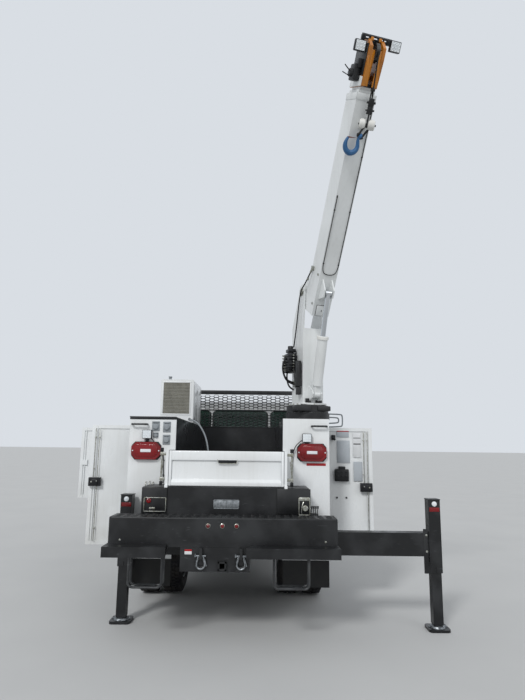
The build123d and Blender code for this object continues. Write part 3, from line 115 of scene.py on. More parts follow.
# %% Colour and node helpers
def linear(hex_code):
    """An sRGB hex colour as the four linear values of a shader socket."""
    parts = [int(hex_code[i:i + 2], 16) / 255 for i in (0, 2, 4)]
    return [p / 12.92 if p <= 0.04045 else ((p + 0.055) / 1.055) ** 2.4 for p in parts] + [1.0]


def add_node(tree, kind, settings=None, links=None):
    """Adds one node with its settings, and links its inputs to the outputs given."""
    node = tree.nodes.new(kind)
    for name, value in (settings or {}).items():
        if isinstance(name, str) and hasattr(node, name):
            setattr(node, name, value)
        else:
            node.inputs[name].default_value = value
    for name, source in (links or {}).items():
        tree.links.new(source, node.inputs[name])
    return node


def new_finish(name, roughness, metallic=0.0, **sockets):
    """A material with one principled shader, whose even values sit on its own sockets."""
    material = bpy.data.materials.new(name)
    material.use_nodes = True
    tree = material.node_tree
    tree.nodes.clear()
    shader = add_node(tree, "ShaderNodeBsdfPrincipled", {"Roughness": roughness, "Metallic": metallic})
    for socket, value in sockets.items():
        shader.inputs[socket.replace("_", " ").title().replace("Ior", "IOR")].default_value = value
    add_node(tree, "ShaderNodeOutputMaterial", {}, {"Surface": shader.outputs[0]})
    place = add_node(tree, "ShaderNodeTexCoord").outputs["Object"]
    return material, tree, shader, place


def mottle(tree, place, size_m, detail=3.0, low=0.35, high=0.65):
    """A soft random pattern of patches about size_m across, as a factor from 0 to 1."""
    noise = add_node(tree, "ShaderNodeTexNoise", {"Scale": 1 / size_m, "Detail": detail}, {"Vector": place})
    return add_node(tree, "ShaderNodeMapRange", {"From Min": low, "From Max": high},
                    {"Value": noise.outputs[0]}).outputs[0]


def between(tree, factor, first, second):
    """A colour mixed by a factor. Each colour is a hex code or another node's output."""
    settings = {"data_type": "RGBA"}
    links = {0: factor}
    for socket, colour in ((6, first), (7, second)):
        if isinstance(colour, str):
            settings[socket] = linear(colour)
        else:
            links[socket] = colour
    return add_node(tree, "ShaderNodeMix", settings, links).outputs[2]


def scaled(tree, value, amount, operation="MULTIPLY"):
    """One number from another, by a plain sum."""
    return add_node(tree, "ShaderNodeMath", {"operation": operation, 1: amount}, {0: value}).outputs[0]


def relief(tree, shader, height, depth_m, strength=1.0):
    """Raises the surface by a height pattern, depth_m deep."""
    bump = add_node(tree, "ShaderNodeBump", {"Distance": depth_m, "Strength": strength}, {"Height": height})
    tree.links.new(bump.outputs[0], shader.inputs["Normal"])


def set_roughness(tree, shader, factor, low, high):
    """Lets roughness wander between two values."""
    ranged = add_node(tree, "ShaderNodeMapRange", {"To Min": low, "To Max": high}, {"Value": factor})
    tree.links.new(ranged.outputs[0], shader.inputs["Roughness"])


# %% [markdown]
# ## Paints
# The body is steel sprayed with white two-pack enamel: even and glossy, with a faint orange peel, a little road
# film low down and in streaks under the edges. The chassis, bench and jacks wear black powder coat, which is
# satin and slightly pebbled. The true pebble is under a millimetre, so it is drawn at 6 mm to show at all.


# %% Sprayed enamel and powder coat
def sprayed_enamel(name, hex_code, film_hex, gloss=0.25, film=0.22):
    """Enamel with an orange peel, a thin road film that thickens low down, and faint runs of dust."""
    material, tree, shader, place = new_finish(name, gloss, coat_weight=0.35, coat_roughness=0.08, ior=1.5)
    film_patch = mottle(tree, place, 0.55, 4.0)
    streak_place = add_node(tree, "ShaderNodeMapping", {"Scale": (1.0, 1.0, 0.06)}, {"Vector": place}).outputs[0]
    streaks = mottle(tree, streak_place, 0.035, 2.0, 0.5, 0.75)
    height = add_node(tree, "ShaderNodeSeparateXYZ", {}, {0: place}).outputs["Z"]
    low_down = add_node(tree, "ShaderNodeMapRange", {"From Min": 1.3, "From Max": 0.5}, {"Value": height}).outputs[0]
    film_sum = scaled(tree, film_patch, film, "MULTIPLY")
    runs = scaled(tree, streaks, film * 0.45)
    soil = add_node(tree, "ShaderNodeMath", {"operation": "ADD"}, {0: film_sum, 1: runs}).outputs[0]
    splash = scaled(tree, add_node(tree, "ShaderNodeMath", {"operation": "MULTIPLY"},
                                   {0: low_down, 1: film_patch}).outputs[0], film * 1.6)
    soil = add_node(tree, "ShaderNodeMath", {"operation": "ADD", "use_clamp": True}, {0: soil, 1: splash}).outputs[0]
    colour = between(tree, soil, hex_code, film_hex)
    tree.links.new(colour, shader.inputs["Base Color"])
    set_roughness(tree, shader, soil, gloss, gloss + 0.35)
    peel = add_node(tree, "ShaderNodeTexNoise", {"Scale": 90.0, "Detail": 1.0}, {"Vector": place}).outputs[0]
    relief(tree, shader, peel, 0.0006, 0.25)
    return material, tree, shader, place, colour


def powder_coat(name, hex_code, scuff_hex, rough=0.42):
    """Satin powder coat with a pebbled skin, grey dust in patches and pale scuffs."""
    material, tree, shader, place = new_finish(name, rough, ior=1.5, specular_ior_level=0.45)
    dust = mottle(tree, place, 0.3, 5.0, 0.45, 0.7)
    scuff_place = add_node(tree, "ShaderNodeMapping", {"Scale": (0.25, 1.0, 1.0)}, {"Vector": place}).outputs[0]
    scuffs = mottle(tree, scuff_place, 0.02, 3.0, 0.66, 0.72)
    wear = add_node(tree, "ShaderNodeMath", {"operation": "ADD", "use_clamp": True},
                    {0: scaled(tree, dust, 0.35), 1: scaled(tree, scuffs, 0.5)}).outputs[0]
    tree.links.new(between(tree, wear, hex_code, scuff_hex), shader.inputs["Base Color"])
    set_roughness(tree, shader, dust, rough - 0.08, rough + 0.2)
    pebble = add_node(tree, "ShaderNodeTexNoise", {"Scale": 160.0, "Detail": 2.0}, {"Vector": place}).outputs[0]
    relief(tree, shader, pebble, 0.0008, 0.5)
    return material


white_enamel = sprayed_enamel("white_enamel", "E6E9EA", "B4B3AC")[0]
crane_enamel = sprayed_enamel("crane_white_enamel", "DFE2E2", "A9AAA6", 0.3)[0]
black_coat = powder_coat("black_powder_coat", "0C0D0F", "3A3C3E")
chassis_coat = powder_coat("chassis_black_paint", "111214", "46433E", 0.5)
step_coat = powder_coat("step_tube_paint", "26282A", "6A6C6C", 0.38)
orange_enamel = sprayed_enamel("orange_enamel", "D98712", "8A5A1C", 0.32, 0.4)[0]
blue_enamel = sprayed_enamel("blue_enamel", "14619B", "23445C", 0.35, 0.4)[0]

# %% [markdown]
# The compartments are white outside, but their tops and the walls towards the cargo bay are black. On the real
# body that is a masked second coat, so the same solid gets both colours, parted at the height of the top and at
# the plane of the bay wall.

# %% Two-coat compartments
bay_wall_x = abs(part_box("cargo_bed")[0].x)
face_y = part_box("tail_lamps")[1].y
box_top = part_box("cargo_bed")[1].z
compartment_paint, tree, shader, place, white = sprayed_enamel("compartment_enamel", "E6E9EA", "B4B3AC")
split = add_node(tree, "ShaderNodeSeparateXYZ", {}, {0: place}).outputs
side_reach = add_node(tree, "ShaderNodeMath", {"operation": "ABSOLUTE"}, {0: split["X"]}).outputs[0]
in_bay = scaled(tree, side_reach, bay_wall_x + 0.002, "LESS_THAN")
ahead_of_face = scaled(tree, split["Y"], face_y + 0.003, "GREATER_THAN")
bay_wall = add_node(tree, "ShaderNodeMath", {"operation": "MULTIPLY"}, {0: in_bay, 1: ahead_of_face}).outputs[0]
on_top = scaled(tree, split["Z"], box_top - 0.002, "GREATER_THAN")
black_area = add_node(tree, "ShaderNodeMath", {"operation": "MAXIMUM"}, {0: bay_wall, 1: on_top}).outputs[0]
tree.links.new(between(tree, black_area, white, "15171A"), shader.inputs["Base Color"])
print("face", round(face_y, 3), "top", round(box_top, 3))

# %% [markdown]
# ## Metals, rubber, glass and lenses
# Chrome and polished wheels keep the metal's default IOR. Brushed aluminium shows fine lines along its length.
# Tyre rubber is a dark warm grey that dust dries to brown in the shoulders. Lenses are acrylic: glossy, clear
# coloured and a little see-through, over a bright reflector.


# %% Metals
def worked_metal(name, hex_code, dull_hex, rough, spread, grain_m, stretch=(1, 1, 1), depth=0.0003):
    """A bare or plated metal whose tone and roughness wander along its grain."""
    material, tree, shader, place = new_finish(name, rough, 1.0)
    grain_place = add_node(tree, "ShaderNodeMapping", {"Scale": stretch}, {"Vector": place}).outputs[0]
    grain = mottle(tree, grain_place, grain_m, 3.0)
    tree.links.new(between(tree, grain, hex_code, dull_hex), shader.inputs["Base Color"])
    set_roughness(tree, shader, grain, rough, rough + spread)
    relief(tree, shader, grain, depth, 0.3)
    return material


chrome = worked_metal("polished_chrome", "D3D6D9", "C2C6CA", 0.08, 0.06, 0.4)
aluminium = worked_metal("polished_aluminium", "C4C7CA", "9A9DA0", 0.26, 0.2, 0.05, (0.2, 1, 1))
galvanised = worked_metal("galvanised_steel", "9DA1A4", "74787B", 0.42, 0.2, 0.03)
zinc_plate = worked_metal("zinc_plated_steel", "B9BBB6", "8C8A7C", 0.33, 0.2, 0.02)
cast_iron = powder_coat("cast_iron_black", "17181A", "4B4640", 0.6)

# %% Rubber, plastics and cloth
def matt_moulding(name, hex_code, dust_hex, rough, grain_m, depth, dust=0.5, patch_m=0.12):
    """A moulded rubber or plastic with a grained skin and dust in its hollows."""
    material, tree, shader, place = new_finish(name, rough, ior=1.5, specular_ior_level=0.35)
    patches = mottle(tree, place, patch_m, 5.0, 0.4, 0.75)
    tree.links.new(between(tree, scaled(tree, patches, dust), hex_code, dust_hex), shader.inputs["Base Color"])
    set_roughness(tree, shader, patches, rough - 0.1, rough + 0.12)
    grain = add_node(tree, "ShaderNodeTexNoise", {"Scale": 1 / grain_m, "Detail": 2.0}, {"Vector": place}).outputs[0]
    relief(tree, shader, grain, depth, 0.5)
    return material


tyre_rubber = matt_moulding("tyre_rubber", "16161A", "4A453D", 0.72, 0.012, 0.0008)
flap_rubber = matt_moulding("flap_rubber", "0E0F10", "33322F", 0.6, 0.02, 0.0008)
hose_rubber = matt_moulding("hose_rubber", "0D0D0E", "2C2C2C", 0.45, 0.006, 0.0004, 0.3)
black_plastic = matt_moulding("black_abs_plastic", "101114", "35373A", 0.4, 0.004, 0.0003, 0.3)
grey_plastic = matt_moulding("grey_nylon", "8E9498", "6A6F72", 0.45, 0.004, 0.0003, 0.4)
white_plastic = matt_moulding("white_nylon", "E2E2DE", "B9B6AC", 0.4, 0.004, 0.0003, 0.35)
cooler_fins = matt_moulding("cooler_fin_steel", "8F8D82", "66655C", 0.5, 0.01, 0.0004, 0.5)
label_vinyl = matt_moulding("blank_white_label", "D7D9DA", "BFC2C4", 0.35, 0.02, 0.0001, 0.4)
grey_vinyl = matt_moulding("blank_grey_label", "AEB4B9", "9CA2A8", 0.35, 0.02, 0.0001, 0.4)
red_vinyl = matt_moulding("blank_red_label", "A51A1E", "7E1316", 0.35, 0.02, 0.0001, 0.4)

seat_cloth, tree, shader, place = new_finish("seat_cloth", 0.85, sheen_weight=0.3, sheen_roughness=0.5)
weave = add_node(tree, "ShaderNodeTexWave", {"Scale": 60.0, "Distortion": 1.5, "Detail": 2.0},
                 {"Vector": place}).outputs[1]
tree.links.new(between(tree, weave, "26282C", "3B3E44"), shader.inputs["Base Color"])
relief(tree, shader, weave, 0.0012, 0.6)


# %% Glass and lenses
def clear_moulding(name, hex_code, tint_hex, rough, see_through, ribs_per_m=0.0, glow=0.0):
    """Glass or acrylic with faint dust, and moulded ribs where it is a lens."""
    material, tree, shader, place = new_finish(name, rough, transmission_weight=see_through, ior=1.49)
    dust = mottle(tree, place, 0.25, 4.0)
    tree.links.new(between(tree, scaled(tree, dust, 0.6), hex_code, tint_hex), shader.inputs["Base Color"])
    set_roughness(tree, shader, dust, rough, rough + 0.08)
    if ribs_per_m:
        ribs = add_node(tree, "ShaderNodeTexWave", {"Scale": ribs_per_m, "bands_direction": "X"},
                        {"Vector": place}).outputs[1]
        relief(tree, shader, ribs, 0.002, 0.5)
    if glow:
        shader.inputs["Emission Color"].default_value = linear(hex_code)
        shader.inputs["Emission Strength"].default_value = glow
    return material


# The glass's dark green is partly a real tint and partly painted reflection: the green of trees seen in the windows.
tinted_glass = clear_moulding("tinted_glass", "3F6355", "2E473E", 0.03, 0.55)
red_lens = clear_moulding("red_acrylic", "860C13", "52060A", 0.12, 0.15, 18.0, 0.02)
amber_lens = clear_moulding("amber_acrylic", "D07A12", "8F4F0A", 0.15, 0.15, 18.0, 0.05)
lamp_lens = clear_moulding("clear_lamp_lens", "E4E9EC", "C3CBD0", 0.08, 0.2, 24.0, 0.12)
print("materials", len(bpy.data.materials))

# %% The slot that each finish usually fills
finishes_of_slot = {
    "red_lens": [red_lens, red_vinyl, amber_lens],
    "chrome": [lamp_lens, chrome],
    "rubber": [hose_rubber],
    "black_paint": [black_plastic, black_coat],
    "aluminium": [grey_plastic, cooler_fins, aluminium],
    "bright_steel": [zinc_plate, galvanised],
    "white_paint": [white_enamel, label_vinyl, crane_enamel, white_plastic],
    "crane_orange": [orange_enamel],
    "cast_iron": [cast_iron],
    "blue_hook": [blue_enamel],
    "glass": [tinted_glass],
    "tyre": [tyre_rubber],
}
usual_slot = {material: slot for slot, materials in finishes_of_slot.items() for material in materials}

# %% [markdown]
# The boom's head has orange side plates, painted in a darker orange as painted shade. The gap between them is painted
# near black as painted shade between the plates. The solid is one node, so its paint is parted by the distance from
# the boom's middle plane.

# %% Head with painted shade
# The head's orange is darker than the guard's orange: painted shade on the plates.
head_paint_with_shade, tree, shader, place, orange = sprayed_enamel("head_enamel", "C07410", "6E4516", 0.36, 0.55)
luff = joints["boom_luff"]
pivot = Vector(luff["pos_m"])
across = -Vector(luff["axis"]).normalized()
offset = add_node(tree, "ShaderNodeVectorMath", {"operation": "DOT_PRODUCT", 1: tuple(across)},
                  {0: place}).outputs["Value"]
beside = scaled(tree, scaled(tree, offset, pivot.dot(across), "SUBTRACT"), 0.0, "ABSOLUTE")
# Between the plates the head is painted near black: painted shade in the gap.
clear_of_gap_shade = scaled(tree, beside, 0.0575, "GREATER_THAN")
tree.links.new(between(tree, clear_of_gap_shade, "1A1A1B", orange), shader.inputs["Base Color"])

# %% [markdown]
# ## Finishes on the solids
# Most solids keep their own mesh and only change material. The list reads as a paint schedule.

# %% Paint schedule
schedule = {
    white_enamel: ["cab", "hood", "tailgate", "power_unit", "left_cab_door", "right_cab_door"]
    + [f"{side}_{bay}_door" for side in ("left", "right") for bay in ("rear", "middle", "front")],
    compartment_paint: ["left_compartments", "right_compartments"],
    crane_enamel: ["turret", "boom_base", "boom_middle", "boom_tip", "lift_barrel"],
    head_paint_with_shade: ["boom_head"],
    blue_enamel: ["hook_block"],
    black_coat: ["cargo_bed", "outrigger_housing", "left_beam", "right_beam", "left_leg", "right_leg", "tail_riser",
                 "workbench", "headache_rack", "crane_pedestal", "grille"],
    chassis_coat: ["frame", "left_knuckle", "right_knuckle"],
    cast_iron: ["axles", "engine"],
    chrome: ["front_bumper", "lift_rod"],
    aluminium: ["side_tanks", "left_front_rim", "right_front_rim", "left_rear_rim", "right_rear_rim"],
    tinted_glass: ["cab_glass", "left_door_glass", "right_door_glass"],
    seat_cloth: ["cab_interior"],
    tyre_rubber: ["left_front_tyre", "right_front_tyre", "left_rear_tyre", "right_rear_tyre"],
    flap_rubber: ["mud_flaps"],
    red_lens: ["tail_lamps"],
    step_coat: ["steps_and_handles"],
}
for material, names in schedule.items():
    for name in names:
        mesh = nodes[name].data
        mesh.materials.clear()
        mesh.materials.append(material)
print("painted", sum(len(names) for names in schedule.values()))

# %% [markdown]
# ## Shapes for the screwed-on pieces
# Every piece is a bmesh that starts from a cube, a cone, a face or a spun line. The helpers below put one shape
# into a growing mesh, so that a lamp or a latch of ten shapes ends as one piece.


# %% Shape helpers
sharp_angle = math.radians(35)


def new_meshes(count):
    """As many empty meshes as a step needs."""
    return [bmesh.new() for _ in range(count)]


def add_box(bm, low, high, round_mm=0.0, place=None):
    """A box between two corners in any order, its edges rounded by a few millimetres."""
    middle = [(a + b) / 2 for a, b in zip(low, high)]
    size = [abs(b - a) for a, b in zip(low, high)]
    matrix = Matrix.Translation(middle) @ Matrix.Diagonal((*size, 1.0))
    made = bmesh.ops.create_cube(bm, size=1.0, matrix=(place or Matrix()) @ matrix)
    if round_mm:
        edges = list({edge for vert in made["verts"] for edge in vert.link_edges})
        bmesh.ops.bevel(bm, geom=edges, offset=round_mm / 1000, affect="EDGES", segments=2, profile=0.5, material=-1,
                        clamp_overlap=True)


def add_bars(bm, bars, y0, y1, round_mm):
    """Upright boxes between two depths, each from one (x, z) corner to the other."""
    for low, high in bars:
        add_box(bm, (low[0], y0, low[1]), (high[0], y1, high[1]), round_mm)


def ring(x0, x1, z0, z1, bar):
    """The four bars of a frame: foot, head and two sides."""
    return [((x0, z0), (x1, z0 + bar)), ((x0, z1 - bar), (x1, z1)), ((x0, z0), (x0 + bar, z1)),
            ((x1 - bar, z0), (x1, z1))]


def add_rod(bm, start, end, radius, sides=16, end_radius=None, round_mm=0.0):
    """A round bar or cone from one point to another."""
    start, end = Vector(start), Vector(end)
    line = end - start
    matrix = Matrix.Translation((start + end) / 2) @ line.to_track_quat("Z", "Y").to_matrix().to_4x4()
    top = radius if end_radius is None else end_radius
    made = bmesh.ops.create_cone(bm, cap_ends=True, segments=sides, radius1=radius, radius2=top, depth=line.length,
                                 matrix=matrix)
    if round_mm:
        faces = {face for vert in made["verts"] for face in vert.link_faces if len(face.verts) == sides}
        edges = list({edge for face in faces for edge in face.edges})
        bmesh.ops.bevel(bm, geom=edges, offset=round_mm / 1000, affect="EDGES", segments=2, profile=0.5, material=-1,
                        clamp_overlap=True)


def add_stud(bm, spot, radius, sides=16, end_radius=None, round_mm=0.0):
    """A round bar or cone along one axis: the coordinate it runs along is a pair, from and to."""
    ends = [[value[end] if isinstance(value, tuple) else value for value in spot] for end in (0, 1)]
    add_rod(bm, *ends, radius, sides, end_radius, round_mm)


def add_plate(bm, corners, push, round_mm=0.0):
    """A flat plate: a face through its corners, pushed out to its thickness."""
    face = bm.faces.new([bm.verts.new(corner) for corner in corners])
    made = bmesh.ops.extrude_face_region(bm, geom=[face])["geom"]
    moved = [item for item in made if isinstance(item, bmesh.types.BMVert)]
    bmesh.ops.translate(bm, verts=moved, vec=Vector(push))
    if round_mm:
        edges = list({edge for vert in moved + list(face.verts) for edge in vert.link_edges})
        bmesh.ops.bevel(bm, geom=edges, offset=round_mm / 1000, affect="EDGES", segments=2, profile=0.5, material=-1,
                        clamp_overlap=True)


def add_turned(bm, outline, centre, axis, steps=48):
    """A turned shape: points of (along the axis, radius) spun once round it."""
    centre, axis = Vector(centre), Vector(axis).normalized()
    outward = axis.orthogonal().normalized()
    verts = [bm.verts.new(centre + axis * along + outward * radius) for along, radius in outline]
    edges = [bm.edges.new(pair) for pair in zip(verts, verts[1:])]
    bmesh.ops.spin(bm, geom=verts + edges, cent=centre, axis=axis, angle=2 * math.pi, steps=steps, use_merge=True)


def add_pipe(bm, points, radius, sides=12, bend=3, thick=None):
    """A bent pipe along a smooth line near the points given, swept by a curve's bevel, its thickness as given."""
    curve = bpy.data.curves.new("pipe", "CURVE")
    curve.dimensions = "3D"
    curve.bevel_depth = radius
    curve.bevel_resolution = max(sides // 4 - 1, 0)
    curve.resolution_u = 5
    curve.use_fill_caps = True
    spline = curve.splines.new("NURBS")
    spline.points.add(len(points) - 1)
    for point, spot, share in zip(spline.points, points, thick or [1.0] * len(points)):
        point.co = (*spot, 1.0)
        point.radius = share
    spline.order_u = bend
    spline.use_endpoint_u = True
    holder = bpy.data.objects.new("pipe", curve)
    bm.from_mesh(bpy.data.meshes.new_from_object(holder))
    bpy.data.objects.remove(holder)


def finish_piece(bm, name, material, body="chassis", place=None, slot=None):
    """Turns a bmesh into a finished piece: closed, facing out, smooth but for its edges.

    It rides the body named, or none yet. The slot that its material usually fills, or the one given, is looked up but
    not given to the piece.
    """
    if place is not None:
        bmesh.ops.transform(bm, matrix=place, verts=bm.verts)
    bmesh.ops.recalc_face_normals(bm, faces=bm.faces)
    mesh = bpy.data.meshes.new(name)
    bm.to_mesh(mesh)
    bm.free()
    for polygon in mesh.polygons:
        polygon.use_smooth = True
    mesh.set_sharp_from_angle(angle=sharp_angle)
    mesh.materials.append(material)
    piece = bpy.data.objects.new(name, mesh)
    bpy.context.scene.collection.objects.link(piece)
    if body:
        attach(piece, body)
    slot = slot or usual_slot[material]
    return piece


def finish_pieces(rows, body="chassis", place=None):
    """Finishes several pieces of one body, each row a bmesh, a name and a material."""
    for bm, name, material in rows:
        finish_piece(bm, name, material, body, place)


# %% [markdown]
# ## Tyres
# A truck tyre reads by its tread: rows of blocks parted by grooves, a rib down the middle, and bands on the
# sidewall. The casing is spun a little smaller than the solid, and the blocks stand up to the solid's own radius,
# so the wheel still touches the floor.

# %% Tyres with tread blocks
axle_height = joints["right_rear_wheels_roll"]["pos_m"][2]
tyre_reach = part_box("right_front_tyre")[1].z - axle_height
tread_depth = 0.013
sidewall = [
    # across from the middle, radius from the axle
    (-0.107, 0.292), (-0.107, 0.312), (-0.121, 0.336), (-0.130, 0.372), (-0.1305, 0.402), (-0.127, 0.432),
    (-0.119, 0.458), (-0.100, tyre_reach - tread_depth), (0.0, tyre_reach - tread_depth + 0.001),
]
block_rows = [
    # from, to across the tread, blocks round the wheel, turn of the row in blocks
    (-0.103, -0.060, 54, 0.0), (-0.052, -0.012, 60, 0.4), (0.012, 0.052, 60, 0.0), (0.060, 0.103, 54, 0.5),
]
tyre_centres = {"front": [1.035], "rear": [0.755, 1.070]}


def add_tyre(bm, centre):
    """One tyre: spun casing, sidewall bands and rows of tread blocks."""
    outline = sidewall + [(-across, radius) for across, radius in reversed(sidewall[:-1])]
    add_turned(bm, outline + [outline[0]], centre, (1, 0, 0), 72)
    for band in (0.345, 0.425):
        for side in (-1, 1):
            add_turned(bm, [(side * 0.1245, band - 0.006), (side * 0.1325, band - 0.002),
                            (side * 0.1325, band + 0.003), (side * 0.1245, band + 0.007)], centre, (1, 0, 0), 72)
    for low, high, count, shift in block_rows:
        size = 2 * math.pi * tyre_reach / count * 0.72
        for i in range(count):
            turn = Matrix.Rotation(2 * math.pi * (i + shift) / count, 4, "X")
            place = Matrix.Translation(centre) @ turn
            inner = tyre_reach - tread_depth - 0.004
            outer = tyre_reach * math.cos(size / tyre_reach / 2) - 0.0005
            drop = 0.004 if abs(low + high) > 0.1 else 0.0
            add_box(bm, (low, -size / 2, inner), (high, size / 2, outer - drop), 0.0, place)


for axle, centres in tyre_centres.items():
    for side, word in ((1, "right"), (-1, "left")):
        node = f"{word}_{axle}_tyre"
        low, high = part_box(node)
        bm = bmesh.new()
        for x in centres:
            add_tyre(bm, Vector((side * x, (low.y + high.y) / 2, axle_height)))
        body = f"{word}_{axle}_wheel" + ("s" if axle == "rear" else "")
        tyre = finish_piece(bm, f"{node}_tread", tyre_rubber, body)
        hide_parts(node)
        print(node, len(tyre.data.polygons), "faces")

# %% Wheel nuts and hub caps
nut_circle = 0.142
for axle, centres in tyre_centres.items():
    for side, word in ((1, "right"), (-1, "left")):
        low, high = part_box(f"{word}_{axle}_rim")
        middle_y = (low.y + high.y) / 2
        seat = 1.105 if axle == "front" else 0.933
        reach = 1.145 if axle == "front" else 0.945
        bm = bmesh.new()
        for i in range(10):
            turn = 2 * math.pi * i / 10
            y, z = middle_y + nut_circle * math.cos(turn), axle_height + nut_circle * math.sin(turn)
            add_stud(bm, ((side * (seat - 0.02), side * (seat + 0.012)), y, z), 0.017, 6, round_mm=2)
            add_stud(bm, ((side * seat, side * (seat + 0.024)), y, z), 0.010, 10, round_mm=2)
        hub_cap = [(reach - 0.02, 0.088), (reach - 0.004, 0.088), (reach + 0.002, 0.07), (reach + 0.003, 0.0)]
        add_turned(bm, [(side * along, radius) for along, radius in hub_cap], (0, middle_y, axle_height), (1, 0, 0),
                   32)
        body = f"{word}_{axle}_wheel" + ("s" if axle == "rear" else "")
        finish_piece(bm, f"{word}_{axle}_wheel_nuts", chrome, body)

# %% [markdown]
# ## Rear faces of the compartments
# Each rear face carries a tail lamp behind a clipped red guard with one white bar, a square LED work lamp with its
# cable, a black grab handle, and on the street side four flip covers over the sockets.

# %% Tail lamps
def clipped_panel(x, y, z, wide, narrow, low, tall):
    """The eight corners of an upright panel whose four corners are clipped."""
    return [(x + dx, y, z + dz) for dx, dz in ((-wide, -low), (-narrow, -tall), (narrow, -tall), (wide, -low),
                                               (wide, low), (narrow, tall), (-narrow, tall), (-wide, low))]


lamp_low, lamp_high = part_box("tail_lamps")
lamp_rear = lamp_low.y
lamp_z = (lamp_low.z + lamp_high.z) / 2
lenses, bars, gaskets = new_meshes(3)
for side in (-1, 1):
    x = side * (lamp_high.x - 0.172)
    add_plate(lenses, clipped_panel(x, lamp_rear + 0.002, lamp_z, 0.14, 0.10, 0.035, 0.075), (0, -0.010, 0), 4)
    add_box(bars, (x - 0.062, lamp_rear - 0.014, lamp_z - 0.018), (x + 0.062, lamp_rear - 0.004, lamp_z + 0.018), 4)
    for dx in (-0.155, 0.155):
        add_stud(bars, (x + dx, (lamp_rear - 0.006, lamp_rear + 0.004), lamp_z), 0.008, 10, round_mm=2)
    add_plate(gaskets, clipped_panel(x, face_y + 0.001, lamp_z, 0.176, 0.138, 0.062, 0.106), (0, -0.010, 0), 3)
finish_pieces([(lenses, "tail_lamp_lenses", red_lens), (bars, "reversing_lamp_bars", lamp_lens),
               (gaskets, "tail_lamp_gaskets", hose_rubber)])

# %% Work lamps above the tail lamps
work_lamps = [(-0.978, 2.052), (0.925, 2.030)]
housings, fronts = new_meshes(2)
for x, z in work_lamps:
    add_box(housings, (x - 0.056, face_y - 0.060, z - 0.052), (x + 0.056, face_y - 0.018, z + 0.052), 8)
    for i in range(6):
        fin = x - 0.045 + 0.018 * i
        add_box(housings, (fin - 0.003, face_y - 0.020, z - 0.042), (fin + 0.003, face_y - 0.004, z + 0.042), 1)
    add_box(housings, (x - 0.020, face_y - 0.030, z - 0.085), (x + 0.020, face_y + 0.001, z - 0.045), 3)
    for i in range(3):
        for j in range(3):
            spot = (x - 0.033 + 0.033 * i, z - 0.030 + 0.030 * j)
            add_turned(fronts, [(0.0, 0.0), (0.004, 0.004), (-0.003, 0.014), (-0.001, 0.015)],
                       (spot[0], face_y - 0.062, spot[1]), (0, 1, 0), 12)
    add_box(fronts, (x - 0.050, face_y - 0.0625, z - 0.046), (x + 0.050, face_y - 0.059, z + 0.046), 2)
finish_pieces([(housings, "work_lamp_housings", black_plastic), (fronts, "work_lamp_fronts", lamp_lens)])

# %% Socket covers on the street side
covers = [
    # X, Z, width, height
    (-0.885, 2.150, 0.090, 0.115), (-0.752, 2.142, 0.090, 0.125), (-0.752, 1.992, 0.088, 0.115),
    (-0.880, 2.045, 0.060, 0.060),
]
bm = bmesh.new()
for x, z, wide, tall in covers:
    add_box(bm, (x - wide / 2, face_y - 0.010, z - tall / 2), (x + wide / 2, face_y + 0.001, z + tall / 2), 3)
    add_turned(bm, [(0.0, wide * 0.40), (-0.016, wide * 0.38), (-0.024, wide * 0.28), (-0.026, 0.0)],
               (x, face_y - 0.006, z - 0.006), (0, 1, 0), 24)
    add_stud(bm, ((x - wide * 0.36, x + wide * 0.36), face_y - 0.018, z + tall * 0.40), 0.006, 10)
    for dx in (-0.4, 0.4):
        for dz in (-0.42, 0.42):
            add_stud(bm, (x + dx * wide, (face_y - 0.013, face_y), z + dz * tall), 0.004, 8)
finish_piece(bm, "socket_covers", grey_plastic)

# %% [markdown]
# ## Open doors
# From behind, the open doors show their inner pans: two latch rods run up and down from a black latch block, the
# rear door on the curb side also carries a black control box and blank panels where its labels would be, and each
# door opening is framed by a bulb seal.

# %% Latches on the open rear doors
for side, x, z, word in ((1, 1.742, 1.422, "right"), (-1, -1.752, 1.455, "left")):
    low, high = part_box(f"{word}_rear_door")
    rear = low.y
    rods, blocks = new_meshes(2)
    for dx, z_from in ((-0.024, z), (0.024, low.z + 0.04)):
        add_stud(rods, (x + dx, rear - 0.010, (z_from, high.z - 0.05)), 0.0048, 10, round_mm=1)
        for z_clip in (z_from + 0.16, high.z - 0.16):
            add_box(rods, (x + dx - 0.010, rear - 0.014, z_clip - 0.009),
                    (x + dx + 0.010, rear + 0.006, z_clip + 0.009), 2)
    add_box(blocks, (x - 0.078, rear - 0.040, z - 0.055), (x + 0.078, rear + 0.004, z + 0.055), 6)
    add_box(blocks, (x - 0.045, rear - 0.050, z - 0.032), (x + 0.045, rear - 0.036, z + 0.032), 5)
    add_stud(rods, (x + side * 0.035, (rear - 0.058, rear - 0.04), z), 0.010, 12, round_mm=2)
    add_stud(rods, (x - side * 0.03, (rear - 0.054, rear - 0.04), z + 0.01), 0.007, 12, round_mm=2)
    finish_pieces([(rods, f"{word}_rear_latch_rods", zinc_plate),
                   (blocks, f"{word}_rear_latch_block", black_plastic)], f"{word}_rear_door")

